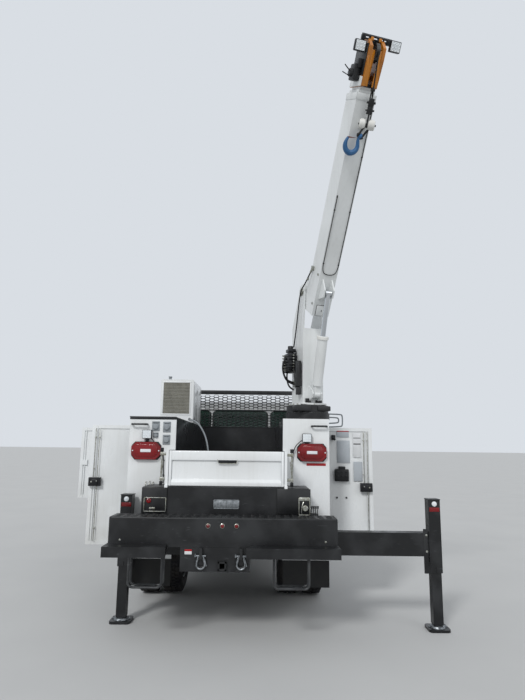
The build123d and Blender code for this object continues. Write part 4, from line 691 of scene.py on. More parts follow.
# %% Control box, blank labels and grommets on the curb-side rear door
low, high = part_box("right_rear_door")
rear = low.y + 0.012
bm = bmesh.new()
add_box(bm, (1.338, rear - 0.048, 1.494), (1.520, rear + 0.002, 1.650), 12)
add_box(bm, (1.385, rear - 0.042, 1.640), (1.475, rear - 0.012, 1.684), 8)
for i in range(3):
    add_stud(bm, (1.375 + 0.054 * i, (rear - 0.058, rear - 0.044), 1.560), 0.013, 14, round_mm=3)
    add_box(bm, (1.362 + 0.054 * i, rear - 0.053, 1.600), (1.388 + 0.054 * i, rear - 0.044, 1.626), 2)
add_box(bm, (1.300, rear - 0.045, 2.020), (1.350, rear + 0.002, 2.085), 6)
add_rod(bm, (1.312, rear - 0.060, 2.050), (1.345, rear - 0.060, 2.020), 0.014, 14, round_mm=3)
finish_piece(bm, "door_control_box", black_plastic, "right_rear_door")
labels = [
    # X from, to, Z from, to, vinyl
    (1.378, 1.542, 1.730, 2.015, grey_vinyl), (1.372, 1.532, 2.060, 2.128, grey_vinyl),
    (1.588, 1.688, 1.80, 2.12, label_vinyl),
    (1.588, 1.700, 1.500, 1.745, grey_vinyl), (1.372, 1.532, 2.128, 2.140, red_vinyl),
    (1.590, 1.684, 1.965, 1.978, flap_rubber),
    (1.590, 1.684, 2.045, 2.053, flap_rubber),
]
for index, (x0, x1, z0, z1, vinyl) in enumerate(labels):
    bm = bmesh.new()
    add_box(bm, (x0, rear - 0.0022 - 0.0004 * index, z0), (x1, rear + 0.001, z1), 0.4)
    finish_piece(bm, f"door_label_{index}", vinyl, "right_rear_door", slot="white_paint")
bm = bmesh.new()
for x in (1.367, 1.489):
    add_turned(bm, [(0.004, 0.0), (0.003, 0.010), (-0.001, 0.012), (-0.003, 0.010), (0.001, 0.008)],
               (x, rear - 0.001, 1.289), (0, 1, 0), 16)
finish_piece(bm, "door_grommets", hose_rubber, "right_rear_door")

# %% [markdown]
# ## Riser, tailgate and bench
# Between the compartments the tailgate shuts against two wings, with a knobbed latch rod on each. Below it the
# black riser carries a socket panel on the street side, a gauge panel and four valve levers on the curb side, and
# one bare bright plate in the middle. The bench behind it has three marker lamps.

# %% Riser panels
riser_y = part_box("tail_riser")[0].y
panels, trims, plates, red_parts = new_meshes(4)
# Raised black boxes behind both panels
for x0, x1, z0, z1 in ((-0.915, -0.640, 1.197, 1.470), (0.560, 0.925, 1.197, 1.470)):
    add_box(panels, (x0, riser_y - 0.020, z0), (x1, riser_y + 0.001, z1), 5)
for x0, x1, z0, z1, bar in ((-0.886, -0.644, 1.216, 1.366, 0.007), (0.794, 0.920, 1.194, 1.385, 0.009)):
    add_bars(trims, ring(x0, x1, z0, z1, bar), riser_y - 0.030, riser_y - 0.018, 1)
add_box(trims, (0.800, riser_y - 0.034, 1.345), (0.915, riser_y - 0.020, 1.378), 3)
add_turned(red_parts, [(0.0, 0.026), (-0.014, 0.026), (-0.018, 0.018), (-0.012, 0.014), (-0.012, 0.0)],
           (-0.832, riser_y - 0.020, 1.332), (0, 1, 0), 24)
add_box(trims, (-0.800, riser_y - 0.036, 1.243), (-0.762, riser_y - 0.019, 1.262), 2)
add_stud(trims, (-0.812, (riser_y - 0.040, riser_y - 0.018), 1.252), 0.012, 14, round_mm=2)
add_turned(trims, [(0.0, 0.030), (-0.012, 0.030), (-0.014, 0.025), (-0.009, 0.023), (-0.009, 0.0)],
           (0.868, riser_y - 0.018, 1.268), (0, 1, 0), 24)
add_pipe(trims, [(0.826, riser_y - 0.022, 1.215), (0.826, riser_y - 0.032, 1.25), (0.835, riser_y - 0.032, 1.31),
                 (0.850, riser_y - 0.022, 1.335)], 0.006)
add_bars(plates, [((-0.131, 1.251), (0.148, 1.258)), ((-0.131, 1.341), (0.148, 1.348)),
                  ((-0.131, 1.251), (-0.122, 1.348)), ((0.139, 1.251), (0.148, 1.348))], riser_y - 0.007, riser_y, 1)
add_box(plates, (-0.124, riser_y - 0.004, 1.256), (0.141, riser_y, 1.343), 1)
finish_pieces([(panels, "riser_panels", black_coat), (trims, "riser_panel_trims", zinc_plate),
               (plates, "riser_blank_plate", galvanised), (red_parts, "riser_red_lamp", red_lens)])

# %% Valve levers beside the riser
levers, knobs = new_meshes(2)
for i in range(4):
    x = 0.935 + 0.022 * i
    add_stud(levers, (x, riser_y + 0.03, (1.19, 1.215)), 0.009, 10)
    add_rod(levers, (x, riser_y + 0.03, 1.21), (x + 0.004, riser_y - 0.01, 1.268), 0.004, 8)
    add_rod(knobs, (x + 0.004, riser_y - 0.01, 1.262), (x + 0.005, riser_y - 0.016, 1.292), 0.007, 10, 0.010, 2)
add_box(levers, (0.926, riser_y + 0.005, 1.1955), (1.012, riser_y + 0.060, 1.205), 2)
finish_pieces([(levers, "valve_levers", black_coat), (knobs, "valve_lever_knobs", black_plastic)])

# %% Tailgate latches and hinge caps
wing_x = bay_wall_x + 0.030
latch, knob, caps = new_meshes(3)
for side in (-1, 1):
    x = side * (wing_x + 0.055)
    y = riser_y + 0.050
    add_stud(latch, (x, y, (1.530, 1.860)), 0.009, 12, round_mm=1)
    for z in (1.56, 1.83):
        add_box(latch, (side * wing_x, y - 0.016, z - 0.016), (x + side * 0.016, y + 0.016, z + 0.016), 2)
    add_stud(knob, (x, y, (1.855, 1.898)), 0.020, 16, round_mm=6)
    add_stud(knob, (x, y, (1.488, 1.535)), 0.018, 16, round_mm=5)
    add_rod(latch, (x, y, 1.52), (x - side * 0.02, y - 0.02, 1.76), 0.004, 8)
    add_plate(caps, [(side * (bay_wall_x + 0.001), riser_y - 0.012, 1.445),
                     (side * (wing_x + 0.004), riser_y - 0.012, 1.445),
                     (side * (wing_x + 0.004), riser_y - 0.012, 1.500),
                     (side * (bay_wall_x + 0.001), riser_y - 0.012, 1.500)], (0, 0.012, 0), 2)
finish_pieces([(latch, "tailgate_latch_rods", zinc_plate), (knob, "tailgate_latch_knobs", black_plastic),
               (caps, "tailgate_hinge_caps", white_enamel)])

# %% [markdown]
# The tailgate is one bent sheet: a flat lip along its top, a long recess below it and a sloped band that turns out
# again above the hinge. Its cross-section is drawn once and pushed along the gate, and two end plates close it.

# %% Tailgate sheet, end plates and pull slot
gate_low, gate_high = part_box("tailgate")
gate, slot, pull = new_meshes(3)
out, back, inset = gate_low.y, gate_high.y, gate_low.y + 0.022
section = [(out, gate_low.z + 0.002), (out, 1.532), (inset, 1.562), (inset, 1.755), (out, 1.768),
           (out, gate_high.z - 0.010), (out + 0.008, gate_high.z), (back - 0.006, gate_high.z),
           (back, gate_high.z - 0.006), (back, gate_low.z + 0.002)]
gate_half = bay_wall_x - 0.006
add_plate(gate, [(0.028 - gate_half, y, z) for y, z in section], (2 * gate_half - 0.056, 0, 0), 2)
for side in (-1, 1):
    add_box(gate, (side * gate_half, out, gate_low.z), (side * (gate_half - 0.027), back, gate_high.z), 3)
    add_stud(gate, ((side * (gate_half - 0.005), side * gate_high.x), out + 0.020, gate_low.z + 0.016), 0.010, 12)
    add_stud(gate, ((side * 0.52, side * 0.60), out + 0.012, gate_low.z + 0.012), 0.012, 14, round_mm=2)
# The pull slot is a thin black box on the sheet: painted shade standing for the dark inside the slot.
add_box(slot, (-0.092, out - 0.0005, 1.738), (0.113, out + 0.018, 1.772), 3)
add_pipe(pull, [(-0.098, out + 0.002, 1.776), (-0.098, out - 0.004, 1.736), (-0.06, out - 0.004, 1.733),
                (0.08, out - 0.004, 1.733), (0.119, out - 0.004, 1.736), (0.119, out + 0.002, 1.776)], 0.004)
gate_piece = finish_piece(gate, "tailgate_sheet", white_enamel, "tailgate")
finish_pieces([(slot, "tailgate_pull_slot", black_plastic), (pull, "tailgate_pull_rim", zinc_plate)], "tailgate")
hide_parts("tailgate")

# %% Bench marker lamps and grip bars
bench_y = riser_y - 0.320
bench_top, marker_z = 1.193, 1.116
red_parts, rims, strips = new_meshes(3)
for x in (-0.155, -0.008, 0.138):
    add_turned(rims, [(0.0, 0.024), (-0.004, 0.024), (-0.006, 0.020), (-0.003, 0.018)], (x, bench_y, marker_z),
               (0, 1, 0), 20)
    add_turned(red_parts, [(-0.001, 0.019), (-0.007, 0.017), (-0.012, 0.009), (-0.013, 0.0)], (x, bench_y, marker_z),
               (0, 1, 0), 20)
for i in range(26):
    x = -1.10 + 2.20 * i / 25
    for j in range(5):
        y = bench_y + 0.04 + 0.06 * j
        add_box(strips, (x - 0.028, y - 0.004, bench_top), (x + 0.028, y + 0.004, bench_top + 0.0055), 1)
for side in (-1, 1):
    add_stud(rims, (side * 1.05, (bench_y - 0.006, bench_y + 0.001), 0.97), 0.012, 6, round_mm=2)
finish_pieces([(rims, "marker_lamp_rims", zinc_plate), (red_parts, "marker_lamps", red_lens),
               (strips, "bench_grip_bars", black_coat)])

# %% [markdown]
# ## Receiver
# Under the bench a collared receiver takes a drawbar, and a blank red and white plate sits beside it.

# %% Receiver collar and blank plate
hitch = next(mount for mount in frame["record"]["mounts"] if mount["name"] == "receiver")["pos_m"]
collar = bmesh.new()
inner, outer = 0.026, 0.044
for x_from, x_to, z_from, z_to in ((-outer, outer, inner, outer), (-outer, outer, -outer, -inner),
                                   (inner, outer, -outer, outer), (-outer, -inner, -outer, outer)):
    add_box(collar, (x_from, hitch[1] + 0.001, hitch[2] + z_from), (x_to, hitch[1] + 0.013, hitch[2] + z_to), 1)
finish_piece(collar, "receiver_collar", black_coat)
plate_rear = bench_y - 0.006
label = bmesh.new()
add_box(label, (-0.385, plate_rear - 0.004, 0.838), (-0.312, plate_rear + 0.004, 0.868), 1)
finish_piece(label, "hitch_label", label_vinyl)
label = bmesh.new()
add_box(label, (-0.385, plate_rear - 0.004, 0.868), (-0.312, plate_rear + 0.004, 0.886), 1)
finish_piece(label, "hitch_label_stripe", red_vinyl)

# %% [markdown]
# ## Outriggers
# Each jack column has a round pale lamp and a red reflector near its top, a bolted plate where it meets its beam,
# and a cup round its foot.

# %% Jack lamps, reflectors and bolts
for word, side in (("left", -1), ("right", 1)):
    low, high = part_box(f"{word}_beam")
    leg_low, leg_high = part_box(f"{word}_leg")
    leg_x = (leg_low.x + leg_high.x) / 2
    column_y = (leg_low.y + leg_high.y) / 2
    rear = column_y - 0.065
    lamp, mark, bolts = new_meshes(3)
    add_turned(lamp, [(0.001, 0.027), (-0.010, 0.027), (-0.016, 0.018), (-0.018, 0.0)], (leg_x, rear, 1.318),
               (0, 1, 0), 24)
    add_box(mark, (leg_x - 0.056, rear - 0.005, 1.235), (leg_x + 0.056, rear + 0.001, 1.280), 2)
    add_box(bolts, (leg_x - 0.070, rear - 0.004, high.z - 0.012), (leg_x + 0.070, column_y + 0.070, high.z - 0.0005),
            3)
    plate_x = leg_x - side * 0.071
    for z in (0.68, 0.76, 0.92, 1.00):
        for y in (column_y - 0.070, column_y + 0.070):
            add_stud(bolts, ((plate_x - side * 0.018, plate_x + side * 0.002), y, z), 0.011, 6, round_mm=2)
    for z in (0.60, 0.63):
        add_stud(bolts, (leg_x, (rear - 0.008, rear + 0.002), z), 0.010, 6, round_mm=2)
    # The reflector is made of the red acrylic, so it carries that material's faint glow: painted light on a part that
    # is no lamp.
    finish_pieces([(lamp, f"{word}_jack_lamp", lamp_lens), (mark, f"{word}_jack_reflector", red_lens),
                   (bolts, f"{word}_jack_bolts", black_coat)], f"{word}_beam")
    foot = bmesh.new()
    for dx, dy in ((-0.09, 0.0), (0.09, 0.0), (0.0, -0.09), (0.0, 0.09)):
        add_stud(foot, (leg_x + dx, column_y + dy, (0.027, 0.040)), 0.012, 6, round_mm=2)
    add_turned(foot, [(0.028, 0.085), (0.044, 0.078), (0.052, 0.056), (0.052, 0.0)], (leg_x, column_y, 0), (0, 0, 1),
               28)
    finish_piece(foot, f"{word}_jack_foot_cup", galvanised, f"{word}_leg")

# %% [markdown]
# ## Headache rack
# The guard behind the cab is a tube frame with a screen of long six-sided openings. The solid stands in for the
# screen, so a piece with the real openings replaces it: one hexagon is inset to a thin frame, and copies of it
# fill each field.

# %% Rack with its screen
rack_low, rack_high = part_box("headache_rack")
rack_y = (rack_low.y + rack_high.y) / 2
bar = 0.070
cell_wide, cell_tall, strand = 0.104, 0.050, 0.0075


def add_cell(bm, x, z):
    """One six-sided opening of the screen, as a thin folded frame."""
    corners = [(-0.5, 0.0), (-0.27, 0.5), (0.27, 0.5), (0.5, 0.0), (0.27, -0.5), (-0.27, -0.5)]
    verts = [bm.verts.new((x + cx * cell_wide, rack_y - 0.003, z + cz * cell_tall)) for cx, cz in corners]
    face = bm.faces.new(verts)
    face.normal_update()
    bmesh.ops.inset_region(bm, faces=[face], thickness=strand, use_even_offset=True, use_boundary=True)
    bmesh.ops.delete(bm, geom=[face], context="FACES_ONLY")


bm = bmesh.new()
fields = [
    # X from, to, Z from, to
    (rack_low.x + bar - 0.03, rack_high.x - bar + 0.03, 2.575, rack_high.z - bar + 0.02),
    (rack_low.x + bar - 0.03, rack_high.x - bar + 0.03, rack_low.z, 2.575),
]
step_x, step_z = cell_wide * 0.77, cell_tall
for x0, x1, z0, z1 in fields:
    columns = int((x1 - x0 - cell_wide) / step_x) + 1
    rows = int((z1 - z0 - cell_tall * 0.5) / step_z)
    start = (x0 + x1) / 2 - step_x * (columns - 1) / 2
    for i in range(columns):
        for j in range(rows):
            z = z0 + step_z * (j + 0.5) + (step_z / 2 if i % 2 else 0)
            add_cell(bm, start + i * step_x, z)
geometry = bmesh.ops.extrude_face_region(bm, geom=list(bm.faces))["geom"]
bmesh.ops.translate(bm, verts=[item for item in geometry if isinstance(item, bmesh.types.BMVert)], vec=(0, 0.006, 0))
y0, y1 = rack_low.y, rack_high.y
x0, x1, z0, z1 = rack_low.x, rack_high.x, rack_low.z, rack_high.z
for x_from, x_to, z_from, z_to in ((x0, x1, z1 - bar, z1), (x0, x0 + bar, z0, z1), (x1 - bar, x1, z0, z1),
                                   (x0, x1, 2.562, 2.584), (x0, x1, z0, z0 + 0.016)):
    full_depth = z_to == z1 or z_from == z1 - bar
    add_box(bm, (x_from, y0 if full_depth else rack_y - 0.02, z_from),
            (x_to, y1 if full_depth else rack_y + 0.02, z_to), 4)
rack = finish_piece(bm, "headache_rack_screen", black_coat)
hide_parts("headache_rack")
print("rack faces", len(rack.data.polygons))

# %% [markdown]
# ## Power unit
# The white housing on the street side holds a compressor and generator. Its rear face is a cooler of thin fins
# behind a round-barred guard, the side doors have raised pulls, and a short exhaust stands on top.

# %% Power unit guard, doors and exhaust
unit_low, unit_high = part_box("power_unit")
fins, trim, pipe = new_meshes(3)
x0, x1, z0, z1 = unit_low.x + 0.040, unit_high.x - 0.060, unit_low.z + 0.140, unit_high.z - 0.050
for i in range(22):
    x = x0 + (x1 - x0) * (i + 0.5) / 22
    add_box(fins, (x - 0.0055, unit_low.y - 0.002, z0), (x + 0.0055, unit_low.y + 0.018, z1))
for i in range(9):
    z = z0 + (z1 - z0) * (i + 0.5) / 9
    add_stud(fins, ((x0 - 0.01, x1 + 0.01), unit_low.y - 0.003, z), 0.003, 6)
add_bars(trim, [((x0 - 0.02, z0 - 0.02), (x1 + 0.02, z0)), ((x0 - 0.02, z1), (x1 + 0.02, z1 + 0.02)),
                ((x0 - 0.02, z0), (x0, z1)), ((x1, z0), (x1 + 0.02, z1))], unit_low.y - 0.006, unit_low.y + 0.002, 2)
for y_from, y_to in ((unit_low.y + 0.05, unit_low.y + 0.48), (unit_low.y + 0.52, unit_high.y - 0.05)):
    for x, push in ((unit_low.x, -0.006), (unit_high.x, 0.006)):
        add_box(trim, (x, y_from, unit_low.z + 0.06), (x + push, y_to, unit_high.z - 0.08), 3)
        add_box(trim, (x, y_from + 0.18, unit_low.z + 0.28), (x + push * 2.2, y_from + 0.26, unit_low.z + 0.36), 3)
add_stud(pipe, (unit_low.x + 0.12, unit_low.y + 0.09, (unit_high.z - 0.005, unit_high.z + 0.045)), 0.022, 18)
add_stud(pipe, (unit_low.x + 0.12, unit_low.y + 0.09, (unit_high.z + 0.04, unit_high.z + 0.055)), 0.028, 18,
         round_mm=3)
finish_pieces([(fins, "power_unit_cooler_guard", cooler_fins), (trim, "power_unit_doors", white_enamel),
               (pipe, "power_unit_exhaust", galvanised)])

# %% [markdown]
# ## Crane
# The crane's pieces are made in its own directions, along the boom, across it and square to both, and are then
# turned into place. The same holds for the mast, whose directions are reach, across and up.

# %% Directions of the mast and boom
up = Vector((0, 0, 1))
along = Vector(joints["boom_extend"]["axis"]).normalized()
square = along.cross(across)
reach = across.cross(up)
slew = joints["crane_slew"]["pos_m"]
boom_place = Matrix.Translation(pivot) @ Matrix((along, across, square)).transposed().to_4x4()
mast_place = Matrix.Translation((slew[0], slew[1], 0)) @ Matrix((reach, across, up)).transposed().to_4x4()
print("along", [round(v, 3) for v in along], "reach", [round(v, 3) for v in reach])

# %% Slewing ring, mast covers and valve bank
ring_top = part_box("crane_pedestal")[1].z
bolt_circle = 0.225
bolts, skirt, white_parts = new_meshes(3)
for i in range(20):
    turn = 2 * math.pi * i / 20
    spot = (bolt_circle * math.cos(turn), bolt_circle * math.sin(turn))
    add_rod(bolts, (*spot, ring_top + 0.095), (*spot, ring_top + 0.112), 0.012, 6, round_mm=2)
add_turned(skirt, [(ring_top + 0.004, 0.262), (ring_top + 0.092, 0.262), (ring_top + 0.092, 0.247),
                   (ring_top + 0.004, 0.247), (ring_top + 0.004, 0.262)], (0, 0, 0), (0, 0, 1), 48)
add_box(skirt, (0.12, -0.25, ring_top + 0.012), (0.285, -0.06, ring_top + 0.085), 10)
add_box(skirt, (0.20, 0.03, ring_top + 0.020), (0.275, 0.20, ring_top + 0.080), 10)
add_box(white_parts, (-0.235, -0.165, ring_top + 0.0955), (0.235, 0.165, ring_top + 0.118), 8)
finish_pieces([(bolts, "slewing_ring_bolts", zinc_plate), (skirt, "slewing_ring_skirt", black_coat),
               (white_parts, "mast_base_plate", crane_enamel)], "turret", mast_place)

valve_bank, levers, hand_box = new_meshes(3)
side_y = -0.147
add_box(valve_bank, (-0.170, side_y - 0.115, 2.86), (0.020, side_y - 0.002, 3.10), 8)
for i, (back, front, far) in enumerate(((-0.165, 0.020, 0.110), (-0.185, 0.035, 0.125), (-0.150, 0.045, 0.105),
                                        (-0.190, 0.015, 0.128), (-0.160, 0.040, 0.112), (-0.120, 0.025, 0.120))):
    z = 2.885 + 0.036 * i
    add_box(valve_bank, (back, side_y - far, z - 0.013), (front, side_y - 0.010, z + 0.013), 4)
    add_rod(levers, (-0.075, side_y - 0.118, z), (-0.075, side_y - 0.165, z + 0.006), 0.011, 12, 0.009, 2)
    add_stud(levers, ((0.030, 0.062), side_y - 0.06, z), 0.009, 10, round_mm=2)
    add_stud(levers, ((-0.185, -0.215), side_y - 0.05, z), 0.009, 10, round_mm=2)
add_stud(valve_bank, (-0.06, side_y - 0.06, (3.08, 3.20)), 0.035, 20, round_mm=6)
add_box(valve_bank, (-0.13, side_y - 0.10, 3.12), (0.00, side_y - 0.004, 3.16), 5)
add_box(hand_box, (0.095, side_y - 0.062, 2.66), (0.178, side_y + 0.001, 2.98), 6)
add_box(hand_box, (0.100, side_y - 0.050, 2.56), (0.165, side_y + 0.001, 2.655), 6)
finish_pieces([(valve_bank, "mast_valve_bank", black_plastic), (levers, "mast_valve_fittings", zinc_plate),
               (hand_box, "mast_control_boxes", black_coat)], "turret", mast_place)

# %% Boom fittings: collar, pins and bolts
base_low = -0.420
base_high = base_low + 0.290
half = 0.110
base_end, tip_end = 2.330, 2.390
collar, pins = new_meshes(2)
for y_from, y_to, z_from, z_to in ((-half - 0.004, half + 0.004, base_low - 0.004, base_low + 0.001),
                                   (-half - 0.004, half + 0.004, base_high - 0.001, base_high + 0.004),
                                   (-half - 0.004, -half + 0.001, base_low - 0.004, base_high + 0.004),
                                   (half - 0.001, half + 0.004, base_low - 0.004, base_high + 0.004)):
    add_box(collar, (base_end - 0.070, y_from, z_from), (base_end - 0.002, y_to, z_to), 3)
pin_end = [(0.150, 0.0), (0.150, 0.040), (0.137, 0.045), (0.134, 0.045)]
for side in (-1, 1):
    add_turned(pins, [(side * offset_y, radius) for offset_y, radius in pin_end], (0, 0, 0), (0, 1, 0), 28)
for s in (-0.03, 0.33):
    for side in (-1, 1):
        add_stud(pins, (s, (side * (half - 0.002), side * (half + 0.010)), base_low + 0.055), 0.016, 6, round_mm=2)
finish_piece(collar, "boom_collar", crane_enamel, "boom_base", boom_place)
turret_pins = bmesh.new()
for side in (-1, 1):
    add_turned(turret_pins, [(side * 0.133, 0.052), (side * 0.141, 0.052), (side * 0.146, 0.030),
                             (side * 0.146, 0.0)], pivot, across, 28)
finish_piece(turret_pins, "boom_pivot_caps", zinc_plate, "turret")
finish_piece(pins, "boom_fittings", zinc_plate, "boom_base", boom_place)

# %% Head: lamps, guard frame, winch motor and rollers
head_s = tip_end
lamps, lenses, motor, rollers = new_meshes(4)
for side, y, s_lamp in ((-1, -0.168, head_s + 0.372), (1, 0.222, head_s + 0.432)):
    add_box(lamps, (s_lamp - 0.055, y - 0.062, -0.384), (s_lamp + 0.055, y + 0.062, -0.342), 8)
    for i in range(6):
        add_box(lamps, (s_lamp - 0.045 + 0.016 * i, y - 0.050, -0.347),
                (s_lamp - 0.040 + 0.016 * i, y + 0.050, -0.327), 1)
    add_box(lenses, (s_lamp - 0.046, y - 0.052, -0.3875), (s_lamp + 0.046, y + 0.052, -0.3825), 2)
    for i in range(3):
        for j in range(3):
            add_turned(lenses, [(-0.004, 0.015), (-0.008, 0.013), (-0.002, 0.004), (0.0, 0.0)],
                       (s_lamp - 0.030 + 0.030 * i, y - 0.034 + 0.034 * j, -0.385), (0, 0, 1), 10)
    add_pipe(lamps, [(s_lamp + 0.02, y, -0.342), (s_lamp + 0.04, y - side * 0.02, -0.33),
                     (head_s + 0.450, side * 0.12, -0.33)], 0.010)
# Guard frame over the head's end
for s, n in ((head_s + 0.448, -0.362), (head_s + 0.476, -0.362), (head_s + 0.492, -0.320)):
    add_stud(lamps, (s, (-0.150, 0.190), n), 0.009, 10, round_mm=2)
for y in (-0.140, -0.075, 0.020, 0.085, 0.170):
    add_rod(lamps, (head_s + 0.425, y, -0.352), (head_s + 0.480, y, -0.360), 0.009, 10, round_mm=2)
    add_rod(lamps, (head_s + 0.476, y, -0.362), (head_s + 0.492, y, -0.320), 0.008, 10)
add_box(lamps, (head_s + 0.428, 0.120, -0.376), (head_s + 0.474, 0.170, -0.334), 6)
add_box(lamps, (head_s + 0.434, -0.165, -0.370), (head_s + 0.482, -0.120, -0.330), 6)
sheave_guard = bmesh.new()
for y0, y1 in ((-0.0905, -0.024), (0.024, 0.0905)):
    add_plate(sheave_guard, [(head_s + 0.006, y0, -0.432), (head_s + 0.270, y0, -0.4615),
                             (head_s + 0.350, y0, -0.444), (head_s + 0.350, y1, -0.444),
                             (head_s + 0.270, y1, -0.4615), (head_s + 0.006, y1, -0.432)], (0, 0, -0.003), 1)
for y0, y1 in ((-0.066, -0.030), (0.028, 0.064)):
    add_box(sheave_guard, (head_s + 0.440, y0, -0.372), (head_s + 0.478, y1, -0.325), 6)
finish_piece(sheave_guard, "head_sheave_guard", orange_enamel, "boom_tip", boom_place)
add_box(motor, (head_s + 0.05, -0.175, -0.360), (head_s + 0.21, -0.088, -0.235), 12)
add_stud(motor, (head_s + 0.12, (-0.205, -0.088), -0.300), 0.042, 24, round_mm=8)
add_box(motor, (head_s + 0.17, -0.150, -0.375), (head_s + 0.26, -0.090, -0.300), 8)
add_rod(motor, (head_s + 0.12, -0.190, -0.32), (head_s + 0.18, -0.275, -0.325), 0.006, 8)
add_rod(motor, (head_s + 0.08, -0.180, -0.31), (head_s + 0.11, -0.285, -0.315), 0.005, 8)
# Dark cover plate on the street side of the head
cheek = -0.0915
add_plate(motor, [(head_s + 0.100, cheek, -0.425), (head_s + 0.400, cheek, -0.425),
                  (head_s + 0.440, cheek, -0.190), (head_s + 0.400, cheek, -0.128), (head_s + 0.160, cheek, -0.128)],
          (0, -0.0075, 0), 1)
sleeve = bmesh.new()
add_plate(sleeve, [(head_s + 0.002, cheek, -0.428), (head_s + 0.090, cheek, -0.428),
                   (head_s + 0.150, cheek, -0.125), (head_s + 0.002, cheek, -0.125)], (0, -0.0070, 0), 1)
finish_piece(sleeve, "boom_tip_sleeve", crane_enamel, "boom_tip", boom_place)
for s, z in ((head_s + 0.425, -0.205), (head_s + 0.425, -0.330)):
    add_stud(rollers, (s, (-0.090, 0.090), z), 0.022, 16, round_mm=3)
finish_pieces([(lamps, "head_lamp_housings", black_plastic), (lenses, "head_lamp_lenses", lamp_lens),
               (motor, "head_motor", black_coat), (rollers, "head_rollers", black_coat)], "boom_tip", boom_place)

# %% [markdown]
# Two black blocks stop the slewing motion at the mast's foot, a white nut closes the lift cylinder's barrel round
# its rod, and a bundle of hoses loops from the valve bank into the side of the mast.

# %% Mast foot, barrel collar and hoses
foot = bmesh.new()
add_box(foot, (0.188, -0.105, 2.452), (0.222, -0.040, 2.512), 5)
add_box(foot, (0.188, 0.030, 2.452), (0.215, 0.110, 2.492), 5)
for y in (-0.085, -0.060, 0.055, 0.085):
    add_stud(foot, ((0.214, 0.228), y, 2.470), 0.010, 6, round_mm=2)
finish_piece(foot, "mast_foot_blocks", black_coat, "turret", mast_place)
lift_axis = Vector(joints["lift_stroke"]["axis"]).normalized()
lift_foot = Vector(joints["lift_swing"]["pos_m"])
collar = bmesh.new()
add_turned(collar, [(0.672, 0.0625), (0.672, 0.072), (0.706, 0.072), (0.7115, 0.067), (0.7115, 0.0625),
                    (0.672, 0.0625)], lift_foot, lift_axis, 32)
finish_piece(collar, "lift_barrel_collar", white_plastic, "lift_barrel")

hoses = bmesh.new()
hose_routes = [
    # points as reach, across, up
    [(-0.06, -0.262, 3.04), (-0.06, -0.300, 3.01), (-0.06, -0.318, 2.90), (-0.055, -0.285, 2.78),
     (-0.05, -0.22, 2.72), (-0.05, -0.13, 2.70)],
    [(-0.10, -0.262, 2.97), (-0.10, -0.290, 2.94), (-0.10, -0.290, 2.85), (-0.09, -0.25, 2.77), (-0.08, -0.19, 2.74),
     (-0.08, -0.13, 2.73)],
    [(0.04, -0.20, 2.90), (0.075, -0.205, 2.86), (0.085, -0.20, 2.76), (0.075, -0.18, 2.66), (0.07, -0.15, 2.60),
     (0.07, -0.13, 2.58)],
    [(-0.15, -0.20, 2.92), (-0.20, -0.205, 2.88), (-0.215, -0.20, 2.78), (-0.20, -0.18, 2.70), (-0.16, -0.15, 2.66),
     (-0.14, -0.13, 2.65)],
]
for route in hose_routes:
    add_pipe(hoses, route, 0.011)
    add_rod(hoses, route[0], Vector(route[0]) + (Vector(route[1]) - Vector(route[0])).normalized() * 0.035, 0.015, 6,
            round_mm=2)
finish_piece(hoses, "mast_hoses", hose_rubber, "turret", mast_place)
clips = bmesh.new()
for z in (2.70, 2.74):
    add_box(clips, (-0.105, -0.158, z - 0.018), (-0.030, -0.133, z + 0.018), 3)
finish_piece(clips, "mast_hose_clips", zinc_plate, "turret", mast_place)

# %% [markdown]
# The hose from the valve bank to the boom crosses the boom's pivot. It is one pipe whose points follow the mast below
# the pivot and the boom above it in their present pose; it rides no body and does not bend with the crane.

# %% Hose past the pivot, boom cables and boom end cover
crossing = bmesh.new()
mast_points = [mast_place @ Vector(p) for p in ((-0.03, -0.175, 3.18), (0.0, -0.165, 3.30), (0.06, -0.160, 3.52),
                                                (0.12, -0.158, 3.74))]
boom_points = [boom_place @ Vector(p) for p in ((0.04, -0.165, -0.04), (0.14, -0.160, -0.12), (0.24, -0.150, -0.16),
                                                (0.31, -0.135, -0.17))]
add_pipe(crossing, mast_points + boom_points, 0.008)
crossing_hose = finish_piece(crossing, "boom_supply_hose", hose_rubber, None)
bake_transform(crossing_hose)
cables, cable_clips = new_meshes(2)
under = base_low - 0.006
loop_from, loop_foot = 0.47, 0.36
edge = half - 0.014
add_stud(cables, ((1.24, loop_from), -edge, under), 0.0045, 8)
add_rod(cables, (1.235, -edge, under), (1.262, -edge, base_low + 0.002), 0.0075, 10, round_mm=1)
add_stud(cables, ((2.26, loop_from), edge, under), 0.0045, 8)
add_pipe(cables, [(loop_from + 0.002, -edge, under), (loop_from - 0.04, -edge, under),
                  (loop_foot + 0.01, -edge * 0.8, under), (loop_foot - 0.012, -edge * 0.35, under),
                  (loop_foot - 0.012, edge * 0.35, under), (loop_foot + 0.01, edge * 0.8, under),
                  (loop_from - 0.04, edge, under), (loop_from + 0.002, edge, under)], 0.0045, 8)
for s in (0.48, 1.10, 1.70, 2.24):
    for side in (-1, 1) if s < 1.2 else (1,):
        add_box(cable_clips, (s - 0.006, side * edge - 0.008, under - 0.004),
                (s + 0.006, side * edge + 0.008, base_low + 0.001), 1)
fitting = bmesh.new()
add_rod(fitting, (0.300, -0.138, -0.170), (0.350, -0.125, -0.172), 0.013, 6, round_mm=2)
add_box(fitting, (0.330, -0.136, -0.200), (0.385, -0.109, -0.150), 4)
add_rod(fitting, (0.200, -0.150, -0.150), (0.225, -0.147, -0.158), 0.014, 6, round_mm=2)
finish_pieces([(fitting, "boom_supply_fitting", zinc_plate), (cables, "boom_cables", hose_rubber),
               (cable_clips, "boom_cable_clips", black_plastic)], "boom_base", boom_place)
cover, cover_edge = new_meshes(2)
add_box(cover_edge, (-0.168, -0.072, base_low - 0.004), (-0.030, 0.072, base_low + 0.001), 3)
add_box(cover, (-0.164, -0.066, base_low - 0.008), (-0.036, 0.066, base_low), 3)
